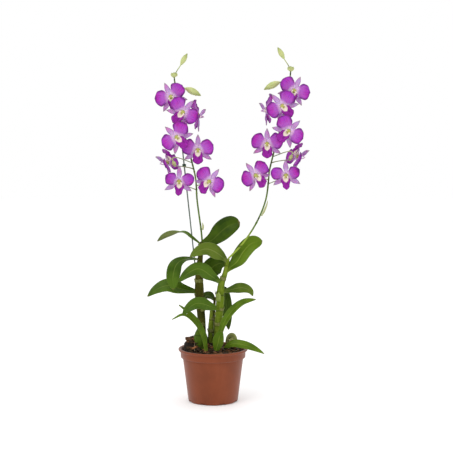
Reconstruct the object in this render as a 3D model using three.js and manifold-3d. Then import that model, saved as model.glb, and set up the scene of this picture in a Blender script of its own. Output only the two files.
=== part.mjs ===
// A potted dendrobium orchid: a plastic nursery pot filled with bark, a clump of canes with
// strap leaves, and two flower sprays, the left one tied to a stake.
// Millimetres, +Z up, +X to the right of a viewer who looks along +Y.
// The origin is the centre of the pot's flat underside.
import * as THREE from "three";
import { mergeVertices } from "three/addons/utils/BufferGeometryUtils.js";
import Module from "manifold-3d";

// ---------------------------------------------------------------- driving dimensions
const GAP = 0.3; // between pieces that touch on the real plant

const POT = {
  height: 93.5,
  lipRadius: 61, // outside of the rolled lip, the widest place
  lipHeight: 4,
  bandRadius: 57.5, // outside of the band under the lip
  bandHeight: 12,
  shoulderRadius: 53.5, // outside of the body just under the band
  baseRadius: 44,
  baseRound: 3,
  wall: 1.6,
  floor: 2.4,
  sides: 44,
};
const DRAIN = { count: 8, width: 11, height: 3.2, depth: 7 };

const BARK = {
  belowLip: 5, // how far the filling stays under the lip at the wall
  crown: 10, // how much the clump of canes lifts its middle
  heap: { at: [-33, 3], height: 20, reach: 30 }, // loose bark piled up beside the left cane
  chips: 20,
  chipLength: 15,
  chipWidth: 9,
  chipThickness: 5,
  sides: 22, // half the pot's, so that its corners stand in the pot's corners
};

const LEAF_THICKNESS = 1.4;
const CANE_SIDES = 8;
const CANE_DEPTH = 24; // how deep the canes stand in the bark

// One orchid bloom, measured along each part.
const PETAL = { length: 27, width: 28, thickness: 0.9 };
const SEPAL = { length: 26, width: 11, thickness: 0.9 };
const LIP = { length: 26, width: 18, thickness: 0.9 };
const COLUMN = { length: 7, radius: 3.4 };
const SPUR = { length: 8, radius: 2.4 };
const PEDICEL_RADIUS = 0.95;
const PETAL_RISE = 24; // degrees from flat at the foot of a petal

const STEM = { baseRadius: 1.6, tipRadius: 1.1, sides: 6, steps: 28 };
const STAKE = { radius: 1.2, depth: 60, sides: 10 };
const CLIP = { wall: 1.4, height: 5, clearance: 0.7 };
const BUD = { length: 31, radius: 6 };

// ---------------------------------------------------------------- helpers
const MERGE = 0.03; // edges shorter than this are closed up where pieces were joined

const wasm = await Module();
wasm.setup();

const rad = THREE.MathUtils.degToRad;
const vec = (x, y, z) => new THREE.Vector3(x, y, z);
const smooth = (t) => THREE.MathUtils.smoothstep(t, 0, 1);

function solidOf(geometry) {
  const bare = geometry.clone();
  bare.deleteAttribute("normal");
  bare.deleteAttribute("uv");
  const merged = mergeVertices(bare, 1e-4);
  return new wasm.Manifold(
    new wasm.Mesh({
      numProp: 3,
      vertProperties: merged.attributes.position.array,
      triVerts: new Uint32Array(merged.index.array),
    }),
  );
}

function geometryOf(solid) {
  const mesh = solid.simplify(MERGE).getMesh();
  const geometry = new THREE.BufferGeometry();
  geometry.setAttribute("position", new THREE.BufferAttribute(mesh.vertProperties, 3));
  geometry.setIndex(new THREE.BufferAttribute(mesh.triVerts, 1));
  geometry.computeVertexNormals();
  return geometry;
}

const joined = (geometries) =>
  geometries.map(solidOf).reduce((whole, piece) => whole.add(piece));

const finish = {
  terracotta: { color: 0x9a4b33, roughness: 0.55 },
  bark: { color: 0x4a3423, roughness: 0.95 },
  leaf: { color: 0x3f6f1f, roughness: 0.45 },
  cane: { color: 0x7c8a34, roughness: 0.55 },
  oldCane: { color: 0x6a5a2c, roughness: 0.7 },
  dryLeaf: { color: 0xa8a060, roughness: 0.85 },
  stem: { color: 0x6f8f45, roughness: 0.5 },
  bloom: { color: 0xa32bc0, roughness: 0.5 },
  bud: { color: 0xbcc77a, roughness: 0.5 },
  stake: { color: 0x4c5f54, roughness: 0.6 },
  clip: { color: 0x1f3a28, roughness: 0.5 },
};

function piece(name, geometry, look) {
  const material = new THREE.MeshStandardMaterial({ ...finish[look], metalness: 0 });
  const mesh = new THREE.Mesh(geometry, material);
  mesh.name = name;
  return mesh;
}

// Bends a shape that stands on the Y axis from 0 to 1 along a curve. Its X and Z stay millimetres.
function alongCurve(geometry, curve, steps) {
  const frames = curve.computeFrenetFrames(steps, false);
  const position = geometry.attributes.position;
  for (let i = 0; i < position.count; i++) {
    const t = THREE.MathUtils.clamp(position.getY(i), 0, 1);
    const station = Math.round(t * steps);
    const point = curve
      .getPointAt(t)
      .addScaledVector(frames.normals[station], position.getX(i))
      .addScaledVector(frames.binormals[station], -position.getZ(i));
    position.setXYZ(i, point.x, point.y, point.z);
  }
  return geometry;
}

// A round rod along a curve, whose radius follows a function of the share of its length.
function rod(curve, radiusAt, steps, sides) {
  const profile = [new THREE.Vector2(0, 0)];
  for (let i = 0; i <= steps; i++) {
    profile.push(new THREE.Vector2(radiusAt(i / steps), i / steps));
  }
  profile.push(new THREE.Vector2(0, 1));
  return alongCurve(new THREE.LatheGeometry(profile, sides), curve, steps);
}

// The line down the middle of a petal, sepal or lip: an arc that leaves its base at an azimuth and
// a rise above the horizontal, and droops by so many degrees along its length.
function arcSpine({ base, azimuth, rise, droop, length }, samples) {
  const points = [];
  const at = base.clone();
  const turn = rad(azimuth);
  const side = vec(-Math.sin(turn), Math.cos(turn), 0);
  for (let i = 0; i <= samples; i++) {
    const climb = rad(rise - (droop * i) / samples);
    const level = Math.cos(climb);
    const along = vec(Math.cos(turn) * level, Math.sin(turn) * level, Math.sin(climb));
    points.push({ at: at.clone(), side, up: along.clone().cross(side) });
    at.addScaledVector(along, length / samples);
  }
  return points;
}

// The line down the middle of a leaf: a smooth curve through some points, with the way the upper
// face looks at the foot and at the tip.
function pathSpine({ points, face, faceTip = face }, samples) {
  const curve = new THREE.CatmullRomCurve3(points, false, "centripetal");
  const looks = [vec(...face).normalize(), vec(...faceTip).normalize()];
  return Array.from({ length: samples + 1 }, (_, i) => {
    const t = i / samples;
    const along = curve.getTangentAt(t);
    const side = looks[0].clone().lerp(looks[1], smooth(t)).cross(along).normalize();
    return { at: curve.getPointAt(t), side, up: along.clone().cross(side) };
  });
}

// Width of a blade as a share of its widest, for a leaf and for the parts of a bloom.
const outline = {
  leaf: (t) => (t < 0.45 ? 0.36 + 0.64 * smooth(t / 0.45) : Math.sqrt(1 - ((t - 0.45) / 0.55) ** 2.2)),
  round: (t) => (t < 0.6 ? 0.36 + 0.64 * smooth(t / 0.6) : Math.sqrt(1 - ((t - 0.6) / 0.4) ** 2.6)),
  strap: (t) => (t < 0.3 ? 0.6 + 0.4 * smooth(t / 0.3) : (1 - ((t - 0.3) / 0.7) ** 2) ** 0.9),
  petal: (t) => (t < 0.6 ? 0.16 + 0.84 * smooth(t / 0.6) : Math.sqrt(1 - ((t - 0.6) / 0.4) ** 2)),
  sepal: (t) => (t < 0.4 ? 0.36 + 0.64 * smooth(t / 0.4) : (1 - ((t - 0.4) / 0.6) ** 1.8) ** 0.8),
  lip: (t) => (t < 0.6 ? 0.26 + 0.74 * smooth(t / 0.6) : Math.sqrt(1 - ((t - 0.6) / 0.4) ** 2.2)),
};
const TIP_SHARE = 0.05; // no blade gets narrower than this share of its width

// A thin curved blade around its spine. `fold` lifts the edges by that share of the half width.
function blade(spine, { width, thickness, shape, fold = 0.2 }) {
  const steps = spine.length - 1;
  const geometry = new THREE.BoxGeometry(1, 1, 1, 2, 1, steps);
  const position = geometry.attributes.position;
  for (let i = 0; i < position.count; i++) {
    const t = position.getZ(i) + 0.5;
    const { at, side, up } = spine[Math.round(t * steps)];
    const offset = position.getX(i) * width * Math.max(outline[shape](t), TIP_SHARE);
    const lift = Math.abs(offset) * fold + position.getY(i) * thickness;
    const point = at.clone().addScaledVector(side, offset).addScaledVector(up, lift);
    position.setXYZ(i, point.x, point.y, point.z);
  }
  return geometry;
}

// ---------------------------------------------------------------- pot and growing medium
const bandBottom = POT.height - POT.lipHeight - POT.bandHeight;

// Outside of the pot wall at a height, below the band.
const bodyRadius = (z) =>
  THREE.MathUtils.mapLinear(z, POT.baseRound, bandBottom, POT.baseRadius, POT.shoulderRadius);

function pot() {
  const { height, wall, floor, baseRound } = POT;
  const lipBottom = height - POT.lipHeight;
  const lean = POT.baseRadius - baseRound;
  const outside = [
    [0, 0],
    [lean, 0],
    [lean + baseRound * 0.7, baseRound * 0.3],
    [POT.baseRadius, baseRound],
    [POT.shoulderRadius, bandBottom],
    [POT.bandRadius - 0.6, bandBottom + 1.2],
    [POT.bandRadius, lipBottom],
    [POT.lipRadius - 0.8, lipBottom + 0.6],
    [POT.lipRadius, height - 1.4],
    [POT.lipRadius - 1, height],
  ];
  const inside = [
    [POT.bandRadius - wall + 0.6, height],
    [POT.bandRadius - wall, lipBottom],
    [POT.bandRadius - 0.6 - wall, bandBottom + 1.2 + wall],
    [POT.shoulderRadius - wall, bandBottom + wall / 2],
    [bodyRadius(floor + 1) - wall, floor + 1],
    [bodyRadius(floor + 1) - wall - 1, floor],
    [0, floor],
  ];
  const profile = [...outside, ...inside].map(([r, z]) => new THREE.Vector2(r, z));
  const shell = new THREE.LatheGeometry(profile, POT.sides).rotateX(Math.PI / 2);
  let solid = solidOf(shell);
  for (let i = 0; i < DRAIN.count; i++) {
    const notch = new THREE.BoxGeometry(DRAIN.depth, DRAIN.width, DRAIN.height * 2);
    notch.translate(POT.baseRadius, 0, 0);
    notch.rotateZ(((i + 0.5) / DRAIN.count) * 2 * Math.PI);
    solid = solid.subtract(solidOf(notch));
  }
  return piece("pot", geometryOf(solid), "terracotta");
}

const barkEdge = POT.height - BARK.belowLip;
const barkTop = (x, y) => {
  const fromHeap = Math.hypot(x - BARK.heap.at[0], y - BARK.heap.at[1]);
  const fromMiddle = Math.hypot(x, y);
  const crown = BARK.crown * smooth(1 - fromMiddle / (POT.shoulderRadius - POT.wall));
  return barkEdge + crown + BARK.heap.height * smooth(1 - fromHeap / BARK.heap.reach);
};

// A number from 0 to 1 that is always the same for the same count, to scatter the chips.
const scatter = (count, salt) => {
  const wave = Math.sin(count * 12.9898 + salt * 78.233) * 43758.5453;
  return wave - Math.floor(wave);
};

function barkFilling(sockets) {
  const fill = POT.wall + GAP;
  const profile = [
    [0, POT.floor + GAP],
    [bodyRadius(POT.floor + 1) - fill - 1.2, POT.floor + GAP],
    [bodyRadius(POT.floor + 2) - fill, POT.floor + 2],
    [POT.shoulderRadius - fill, bandBottom],
    [POT.shoulderRadius - fill, barkEdge - 1],
  ];
  for (const share of [0.92, 0.76, 0.6, 0.44, 0.28, 0.14, 0]) {
    profile.push([share * (POT.shoulderRadius - fill), barkEdge]);
  }
  const points = profile.map(([r, z]) => new THREE.Vector2(r, z));
  const bed = new THREE.LatheGeometry(points, BARK.sides).rotateX(Math.PI / 2);
  const position = bed.attributes.position;
  for (let i = 0; i < position.count; i++) {
    if (position.getZ(i) < barkEdge - 0.5) continue;
    position.setZ(i, barkTop(position.getX(i), position.getY(i)));
  }
  let solid = solidOf(bed);
  const reach = POT.shoulderRadius - fill - BARK.chipLength / 2 - 1;
  for (let i = 0; i < BARK.chips; i++) {
    const radius = reach * Math.sqrt((i + 0.5) / BARK.chips);
    const turn = i * 2.39996; // the golden angle spreads them evenly
    const [x, y] = [radius * Math.cos(turn), radius * Math.sin(turn)];
    const chip = new THREE.BoxGeometry(
      BARK.chipLength * (0.6 + 0.4 * scatter(i, 1)),
      BARK.chipWidth * (0.6 + 0.4 * scatter(i, 2)),
      BARK.chipThickness,
    );
    chip.rotateX(rad(50 * scatter(i, 3) - 25));
    chip.rotateY(rad(40 * scatter(i, 4) - 20));
    chip.rotateZ(2 * Math.PI * scatter(i, 5));
    solid = solid.add(solidOf(chip.translate(x, y, barkTop(x, y) + 0.5)));
  }
  for (const socket of sockets) solid = solid.subtract(solidOf(socket));
  // A chip that a socket cut right off would be loose, so only the main body is kept.
  const bodies = solid.decompose().sort((a, b) => b.volume() - a.volume());
  return piece("bark_mix", geometryOf(bodies[0]), "bark");
}

// ---------------------------------------------------------------- canes
// Each cane is a line of points and the radius at its foot, belly and top; `belly` is where it is
// thickest, as a share of its length. Heights are above the edge of the bark.
const CANES = {
  cane_left: {
    line: [[-16, 9, -CANE_DEPTH], [-19, 8, 36.5], [-24, 7, 101.5], [-24, 6, 146.5], [-19, 5, 191.5]],
    radii: [5, 8, 3.6],
    belly: 0.6,
    look: "oldCane",
  },
  cane_right: {
    line: [
      [4, -4, -CANE_DEPTH], [8, -5, 31.5], [12.5, -5, 86.5], [14.5, -5, 117.5], [21, -5, 137.5],
      [26, -5, 163.5],
    ],
    radii: [5, 7.2, 3.4],
    belly: 0.6,
    look: "cane",
  },
  cane_young: {
    line: [[-5, 3, -CANE_DEPTH], [-4.5, 2, 21.5], [-3.5, 1, 51.5], [-3, 0, 79.5]],
    radii: [3.6, 5, 2.4],
    belly: 0.6,
    look: "cane",
  },
  cane_old: {
    line: [[6, 15, -CANE_DEPTH], [0, 15, 36.5], [3, 14, 93.5]],
    radii: [3, 3.2, 2.2],
    belly: 0.5,
    look: "oldCane",
  },
  bulb_short: {
    line: [[-20, -10, 8 - CANE_DEPTH], [-22.5, -12, 23.5], [-25, -13, 45.5]],
    radii: [5, 8.6, 3],
    belly: 0.55,
    look: "cane",
  },
};

const curveOf = (line) =>
  new THREE.CatmullRomCurve3(
    line.map(([x, y, above]) => vec(x, y, barkEdge + above)),
    false,
    "centripetal",
  );

for (const cane of Object.values(CANES)) cane.curve = curveOf(cane.line);

const caneRadius = ({ radii: [foot, belly, top], belly: where }, t) =>
  t < where
    ? foot + (belly - foot) * smooth(t / where)
    : top + (belly - top) * smooth((1 - t) / (1 - where));

const caneSteps = 10;
const caneShape = (cane, extra = 0) =>
  rod(cane.curve, (t) => caneRadius(cane, t) + extra, caneSteps, CANE_SIDES);

// The place on a cane at a height, as a share of its length and a point on its middle line.
function onCane(name, height) {
  const { curve } = CANES[name];
  let low = 0;
  let high = 1;
  for (let i = 0; i < 30; i++) {
    const middle = (low + high) / 2;
    if (curve.getPointAt(middle).z < height) low = middle;
    else high = middle;
  }
  return { share: low, centre: curve.getPointAt(low) };
}

// ---------------------------------------------------------------- leaves
// Each leaf grows from a cane at a height above the bark's edge. A leaf with `from` grows out of
// the bark there. `path` is where its middle line goes, from where it starts.
const LEAVES = {
  leaf_left_top: {
    cane: "cane_left", height: 186.5, width: 15, fold: 0.3,
    path: [[-22, -10, 23], [-42, -13, 23], [-58, -14, 18], [-71, -15, 9]],
    face: [0.15, -0.62, 0.77], faceTip: [-0.25, 0.72, 0.65],
  },
  leaf_left_crown: {
    cane: "cane_left", height: 182.5, width: 36, shape: "round", fold: 0.16,
    path: [[16, -6, 20], [38, -9, 39], [57, -11, 46]],
    face: [-0.3, -0.92, 0.25],
  },
  leaf_left_shoulder: {
    cane: "cane_left", height: 160.5, width: 26, fold: 0.25,
    path: [[-21, -10, 3], [-35, -15, -6], [-41, -18, -26], [-41, -19, -50]],
    face: [-0.1, -0.45, 0.9], faceTip: [-0.45, -0.85, 0.25],
  },
  leaf_left_low: {
    cane: "cane_left", height: 101.5, width: 27, fold: 0.3,
    path: [[-22, -4, 8], [-46, -6, 14], [-66, -7, 7], [-81, -8, -4]],
    face: [-0.1, -0.72, 0.7],
  },
  leaf_right_crown: {
    cane: "cane_right", height: 139.5, width: 31, fold: 0.2,
    path: [[14, 1, 22], [28, 6, 46], [40, 9, 60], [56, 12, 56]],
    face: [-0.4, -0.88, 0.26],
  },
  leaf_right_over: {
    cane: "cane_right", height: 158.5, width: 26, fold: 0.2,
    path: [[-12, -13, 16], [-31, -22, 25], [-47, -28, 21], [-60, -31, 13]],
    face: [-0.05, -0.62, 0.78],
  },
  leaf_right_behind: {
    cane: "cane_right", height: 154.5, width: 32, shape: "round", fold: 0.15,
    path: [[-12, 10, 2], [-19, 14, -10], [-23, 16, -24]],
    face: [-0.35, -0.8, 0.45],
  },
  leaf_right_front: {
    cane: "cane_right", height: 119.5, width: 29, fold: 0.25,
    path: [[-14, -13, 18], [-33, -24, 30], [-51, -31, 23], [-67, -34, 9]],
    face: [-0.05, -0.62, 0.78],
  },
  leaf_right_out: {
    cane: "cane_right", height: 103.5, width: 21, fold: 0.2,
    path: [[16, 1, 7], [32, 3, 8], [43, 4, 3], [48, 5, -6]],
    face: [0.1, -0.78, 0.6],
  },
  leaf_right_hanging: {
    cane: "cane_right", height: 103.5, width: 17, fold: 0.15,
    path: [[9, 18, 2], [15, 22, -30], [18, 22, -68]],
    face: [0.3, -0.9, 0.3],
  },
  leaf_right_low: {
    cane: "cane_right", height: 73.5, width: 27, fold: 0.25,
    path: [[-18, -17, 13], [-33, -26, 16], [-47, -31, 8], [-57, -34, -3]],
    face: [-0.05, -0.62, 0.78],
  },
  leaf_back: {
    cane: "cane_old", height: 87.5, width: 16, fold: 0.2,
    path: [[-5, 6, 14], [-12, 10, 16], [-20, 13, 4]],
    face: [-0.1, -0.6, 0.8],
  },
  leaf_over_rim: {
    from: [14, -14], width: 17, fold: 0.3,
    path: [[18, -3, 20], [42, -8, 20], [60, -12, 13], [75, -16, 3]],
    face: [-0.05, -0.5, 0.86],
  },
  leaf_dry: {
    from: [31, 8], width: 13, fold: 0.5, shape: "strap", look: "dryLeaf",
    path: [[0, -4, 24], [3, -10, 29], [6, -16, 22], [6, -18, 12]],
    face: [0.3, -0.1, 0.9], faceTip: [0.5, -0.8, 0],
  },
};
// Each basal shoot is a fan of leaves that grow as one.
const SHOOTS = {
  shoot_left: [
    {
      from: [-11, -25], width: 12, fold: 0.4, shape: "strap",
      path: [[-4, -1, 32], [-12, -2, 52], [-25, -3, 70], [-48, 0, 89]],
      face: [0.25, -0.85, 0.45],
    },
    {
      from: [-12, -26], width: 9, fold: 0.35, shape: "strap",
      path: [[-6, -2, 36], [-17, -4, 57], [-38, -6, 73], [-59, -7, 65]],
      face: [0.15, -0.75, 0.65],
    },
  ],
  shoot_right: [
    {
      from: [2, -28], width: 12, fold: 0.35, shape: "strap",
      path: [[10, 1, 34], [17, 4, 56], [31, 9, 77], [50, 13, 92], [73, 16, 97]],
      face: [-0.45, -0.8, 0.4],
    },
    {
      from: [3, -27], width: 15, fold: 0.35, shape: "strap",
      path: [[7, -2, 20], [14, -3, 34], [21, -3, 43]],
      face: [-0.3, -0.85, 0.4],
    },
  ],
};
const LEAF_DEPTH = 8; // how deep a leaf that grows from the bark starts

// A leaf of a cane stands just off the cane's skin: it is moved out, the way it grows, until no
// part of it is nearer than the gap.
function leafGeometry(plan, thickness = LEAF_THICKNESS, wider = 0) {
  const { cane, height, from, path, width, shape = "leaf", fold } = plan;
  const centre = cane
    ? onCane(cane, barkEdge + height).centre
    : vec(from[0], from[1], barkTop(...from) - LEAF_DEPTH);
  const points = [centre, ...path.map((p) => centre.clone().add(vec(...p)))];
  const spine = pathSpine({ ...plan, points }, 8);
  const geometry = blade(spine, { width: width + wider, thickness, shape, fold });
  if (!cane) return geometry;
  const out = vec(path[0][0], path[0][1], 0).normalize();
  const position = geometry.attributes.position;
  const point = vec(0, 0, 0);
  for (let tries = 0; tries < 60; tries++) {
    let lack = 0;
    for (let i = 0; i < position.count; i++) {
      point.fromBufferAttribute(position, i);
      const near = onCane(cane, point.z);
      const apart = Math.hypot(point.x - near.centre.x, point.y - near.centre.y);
      const beyond = Math.max(0, point.z - near.centre.z);
      if (beyond > GAP) continue;
      lack = Math.max(lack, caneRadius(CANES[cane], near.share) + GAP * 2 - apart);
    }
    if (lack <= 0) break;
    geometry.translate(out.x * 0.5, out.y * 0.5, 0);
  }
  return geometry;
}

// ---------------------------------------------------------------- flower sprays
// Everything on a spray is placed in steps of how far a bloom reaches, so blooms that are made
// larger stand further apart. `u` runs from the stem towards the middle of the plant.
const REACH = Math.max(PETAL.length, SEPAL.length, LIP.length);

// The stem's line above its lowest bloom: [u, depth, height].
const RACHIS = [
  [0, 0, 0], [-0.05, 0, 0.6], [-0.3, 0, 1.7], [-0.7, 0, 3.2], [-1.08, 0, 4.8], [-1.3, 0, 6],
  [-1.41, 0, 7.1],
];
// Each bloom: its centre, the height it is joined at, the way it looks, how far its top leans
// over, and how steeply its petals rise where that differs, in degrees.
const BLOOMS = [
  { name: "bloom_1", at: [-1.57, -0.6, 5.76], node: 5.0, looks: [-0.1, -1, 0.08], roll: 26 },
  { name: "bloom_2", at: [-0.84, -1.3, 4.78], node: 4.1, looks: [0, -1, 0.04], roll: -42 },
  { name: "bloom_3", at: [0.2, 0.05, 4.62], node: 4.2, looks: [-0.96, -0.26, 0.06], roll: 0, rise: 62 },
  { name: "bloom_4", at: [-1.15, -1.75, 3.2], node: 2.6, looks: [-0.04, -1, 0.06], roll: 48 },
  { name: "bloom_5", at: [0.13, -0.9, 2.38], node: 1.9, looks: [0, -1, 0.04], roll: 0 },
  { name: "bloom_6", at: [-1.97, -0.2, 1.62], node: 1.2, looks: [0.93, -0.14, 0.36], roll: 201 },
  { name: "bloom_7", at: [-1.1, -0.9, 0.38], node: -0.15, looks: [0.16, -1, -0.04], roll: -3, rise: 46 },
  { name: "bloom_8", at: [0.86, -1.05, 0.38], node: 0.1, looks: [-0.34, -1, 0.06], roll: -38 },
];
// Closed buds: where each starts, the way it points, and the height it is joined at.
const BUDS = [
  { name: "bud_side", at: [-0.72, -0.34, 6.36], to: [0.9, -0.05, -0.42], size: 1, node: 5.7 },
  { name: "bud_hanging", at: [-1.5, -0.5, 1.72], to: [0.4, 0, -0.92], size: 0.38, node: 1.6 },
];

// The bloom's local frame: +Z is the way it looks and +Y is its top.
function bloomSolid(petalRise) {
  const part = (azimuth, rise, droop, out, size, shape, steps, fold = 0.2) => {
    const base = vec(Math.cos(rad(azimuth)), Math.sin(rad(azimuth)), 0);
    base.multiplyScalar(COLUMN.radius - 1.2).setZ(out);
    return blade(arcSpine({ base, azimuth, rise, droop, ...size }, steps), { ...size, shape, fold });
  };
  const parts = [
    part(90, 6, 14, 0, SEPAL, "sepal", 3),
    part(213, 4, 18, 0, SEPAL, "sepal", 3),
    part(327, 4, 18, 0, SEPAL, "sepal", 3),
    part(16, petalRise, 34, 1, PETAL, "petal", 3),
    part(164, petalRise, 34, 1, PETAL, "petal", 3),
    part(270, 48, 84, 2, LIP, "lip", 3, 0.3),
  ];
  const column = new THREE.CylinderGeometry(COLUMN.radius * 0.7, COLUMN.radius, COLUMN.length, 6);
  column.rotateX(Math.PI / 2).translate(0, 0, COLUMN.length / 2 - 1.5);
  const spur = new THREE.CylinderGeometry(SPUR.radius, SPUR.radius * 0.4, SPUR.length, 5);
  spur.rotateX(Math.PI / 2).translate(0, 0, 0.6 - SPUR.length / 2);
  return joined([...parts, column, spur]);
}

const stalk = (from, towards, to, radius, lead) => {
  const curve = new THREE.CubicBezierCurve3(
    from,
    from.clone().addScaledVector(towards[0], lead),
    to.clone().addScaledVector(towards[1], lead),
    to,
  );
  return rod(curve, () => radius, 5, 5);
};

function budGeometry(length, radius, sides = 8) {
  const profile = [[0, 0], [0.45, 0.08], [0.85, 0.28], [1, 0.48], [0.78, 0.72], [0.4, 0.9], [0, 1]];
  return new THREE.LatheGeometry(
    profile.map(([r, h]) => new THREE.Vector2(r * radius, h * length)),
    sides,
  );
}

// A spray: its stem from the cane's top, and what grows on it. `side` is 1 for the left spray and
// -1 for the right one, which is its mirror image. `bract` is where a bract starts and ends.
function spray({ name, side, foot, footWay, top, bract, hasStake }) {
  const place = ([u, depth, height]) =>
    vec(top.x + side * u * REACH, top.y + depth * REACH, top.z + height * REACH);
  const peduncle = new THREE.CubicBezierCurve3(
    foot,
    foot.clone().addScaledVector(footWay, foot.distanceTo(top) * 0.33),
    top.clone().sub(vec(0, 0, foot.distanceTo(top) * 0.3)),
    top,
  );
  const line = [...peduncle.getPoints(5).slice(0, -1), ...RACHIS.map(place)];
  const curve = new THREE.CatmullRomCurve3(line, false, "centripetal");
  const radiusAt = (t) => THREE.MathUtils.lerp(STEM.baseRadius, STEM.tipRadius, t);
  const group = new THREE.Group();
  group.add(piece(`${name}_stem`, rod(curve, radiusAt, STEM.steps, STEM.sides), "stem"));

  const stemAt = (height) => {
    const z = top.z + height * REACH;
    let low = 0;
    let high = 1;
    for (let i = 0; i < 30; i++) {
      const middle = (low + high) / 2;
      if (curve.getPointAt(middle).z < z) low = middle;
      else high = middle;
    }
    return { share: low, centre: curve.getPointAt(low) };
  };
  // Where a stalk leaves the stem's skin on its way to a place, and the way it sets off.
  const joint = (height, target) => {
    const { share, centre } = stemAt(height);
    const way = target.clone().sub(centre).setZ(0).normalize();
    const skin = radiusAt(share) + GAP + PEDICEL_RADIUS * 0.6;
    return { from: centre.clone().addScaledVector(way, skin), way: way.setZ(0.35).normalize() };
  };

  for (const bloom of BLOOMS) {
    const looks = vec(side * bloom.looks[0], bloom.looks[1], bloom.looks[2]).normalize();
    const lean = rad(side * bloom.roll);
    const across = vec(-Math.sin(lean), 0, Math.cos(lean)).cross(looks).normalize();
    const facing = new THREE.Matrix4().makeBasis(across, looks.clone().cross(across), looks);
    const centre = place(bloom.at);
    const world = facing.clone().setPosition(centre);
    const inverse = world.clone().invert();
    const back = vec(0, 0, 1.5 - SPUR.length).applyMatrix4(world);
    const { from, way } = joint(bloom.node, back);
    const turned = inverse.clone().setPosition(0, 0, 0);
    const pedicel = stalk(
      from.clone().applyMatrix4(inverse),
      [way.clone().applyMatrix4(turned), vec(0, 0, -1)],
      vec(0, 0, 1.5 - SPUR.length),
      PEDICEL_RADIUS,
      from.distanceTo(back) * 0.4,
    );
    const flower = bloomSolid(bloom.rise ?? PETAL_RISE).add(solidOf(pedicel));
    const mesh = piece(`${name}_${bloom.name}`, geometryOf(flower), "bloom");
    mesh.applyMatrix4(world);
    group.add(mesh);
  }

  for (const bud of BUDS) {
    const start = place(bud.at);
    const way = vec(side * bud.to[0], bud.to[1], bud.to[2]).normalize();
    const shape = budGeometry(BUD.length * bud.size, BUD.radius * Math.sqrt(bud.size));
    shape.applyQuaternion(new THREE.Quaternion().setFromUnitVectors(vec(0, 1, 0), way));
    const { from, way: off } = joint(bud.node, start);
    const local = from.clone().sub(start);
    const foot = way.clone().multiplyScalar(1);
    const pedicel = stalk(local, [off, way.clone().negate()], foot, PEDICEL_RADIUS, local.length() * 0.45);
    const mesh = piece(`${name}_${bud.name}`, geometryOf(joined([shape, pedicel])), "bud");
    mesh.position.copy(start);
    group.add(mesh);
  }

  // The growing tip: a knot of small buds and one longer bud on its own stalk.
  const tip = curve.getPointAt(1).add(vec(0, 0, GAP * 2));
  const knot = [[0, -1, 4], [3, 0, 3.4], [-3, 1, 3.6]].map(([x, y, z]) => {
    const small = budGeometry(BUD.length * 0.26, BUD.radius * 0.55, 5);
    small.rotateX(Math.PI / 2).rotateY(rad(side * x * 9)).rotateX(rad(-y * 9));
    return small.translate((side * x) / 2, y / 2, z - 4);
  });
  const long = budGeometry(BUD.length * 0.76, BUD.radius * 0.76);
  const lean = vec(side * 0.5, 0, 0.87);
  long.applyQuaternion(new THREE.Quaternion().setFromUnitVectors(vec(0, 1, 0), lean));
  const longFoot = lean.clone().multiplyScalar(BUD.length * 0.72);
  long.translate(longFoot.x, longFoot.y, longFoot.z);
  const linkEnd = longFoot.clone().addScaledVector(lean, 1);
  const link = stalk(vec(0, 0, 1), [vec(0, 0, 1), lean.clone().negate()], linkEnd, PEDICEL_RADIUS, 4);
  const tipBuds = piece(`${name}_tip_buds`, geometryOf(joined([...knot, long, link])), "bud");
  tipBuds.position.copy(tip);
  group.add(tipBuds);

  // A papery bract stands along the stem, beside it.
  const bractSpine = pathSpine(
    {
      points: [0, 0.35, 0.7, 1].map((t) => {
        const { share, centre } = stemAt(THREE.MathUtils.lerp(...bract, t));
        const way = curve.getTangentAt(share);
        const apart = radiusAt(share) + GAP + 1 + 1.4 * Math.sin(t * Math.PI * 0.8);
        return centre.add(vec(way.z, 0, -way.x).normalize().multiplyScalar(apart));
      }),
      face: [-0.2, -1, 0],
    },
    5,
  );
  const wrap = blade(bractSpine, { width: 3, thickness: 0.7, shape: "strap", fold: 0.2 });
  group.add(piece(`${name}_bract`, wrap, "dryLeaf"));

  if (hasStake) group.add(...stakeAndClips(curve, radiusAt, stemAt));
  return group;
}

// ---------------------------------------------------------------- stake and its clips
const STAKE_LINE = { footX: -10, footY: 24, topHeight: 6.85 };

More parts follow.
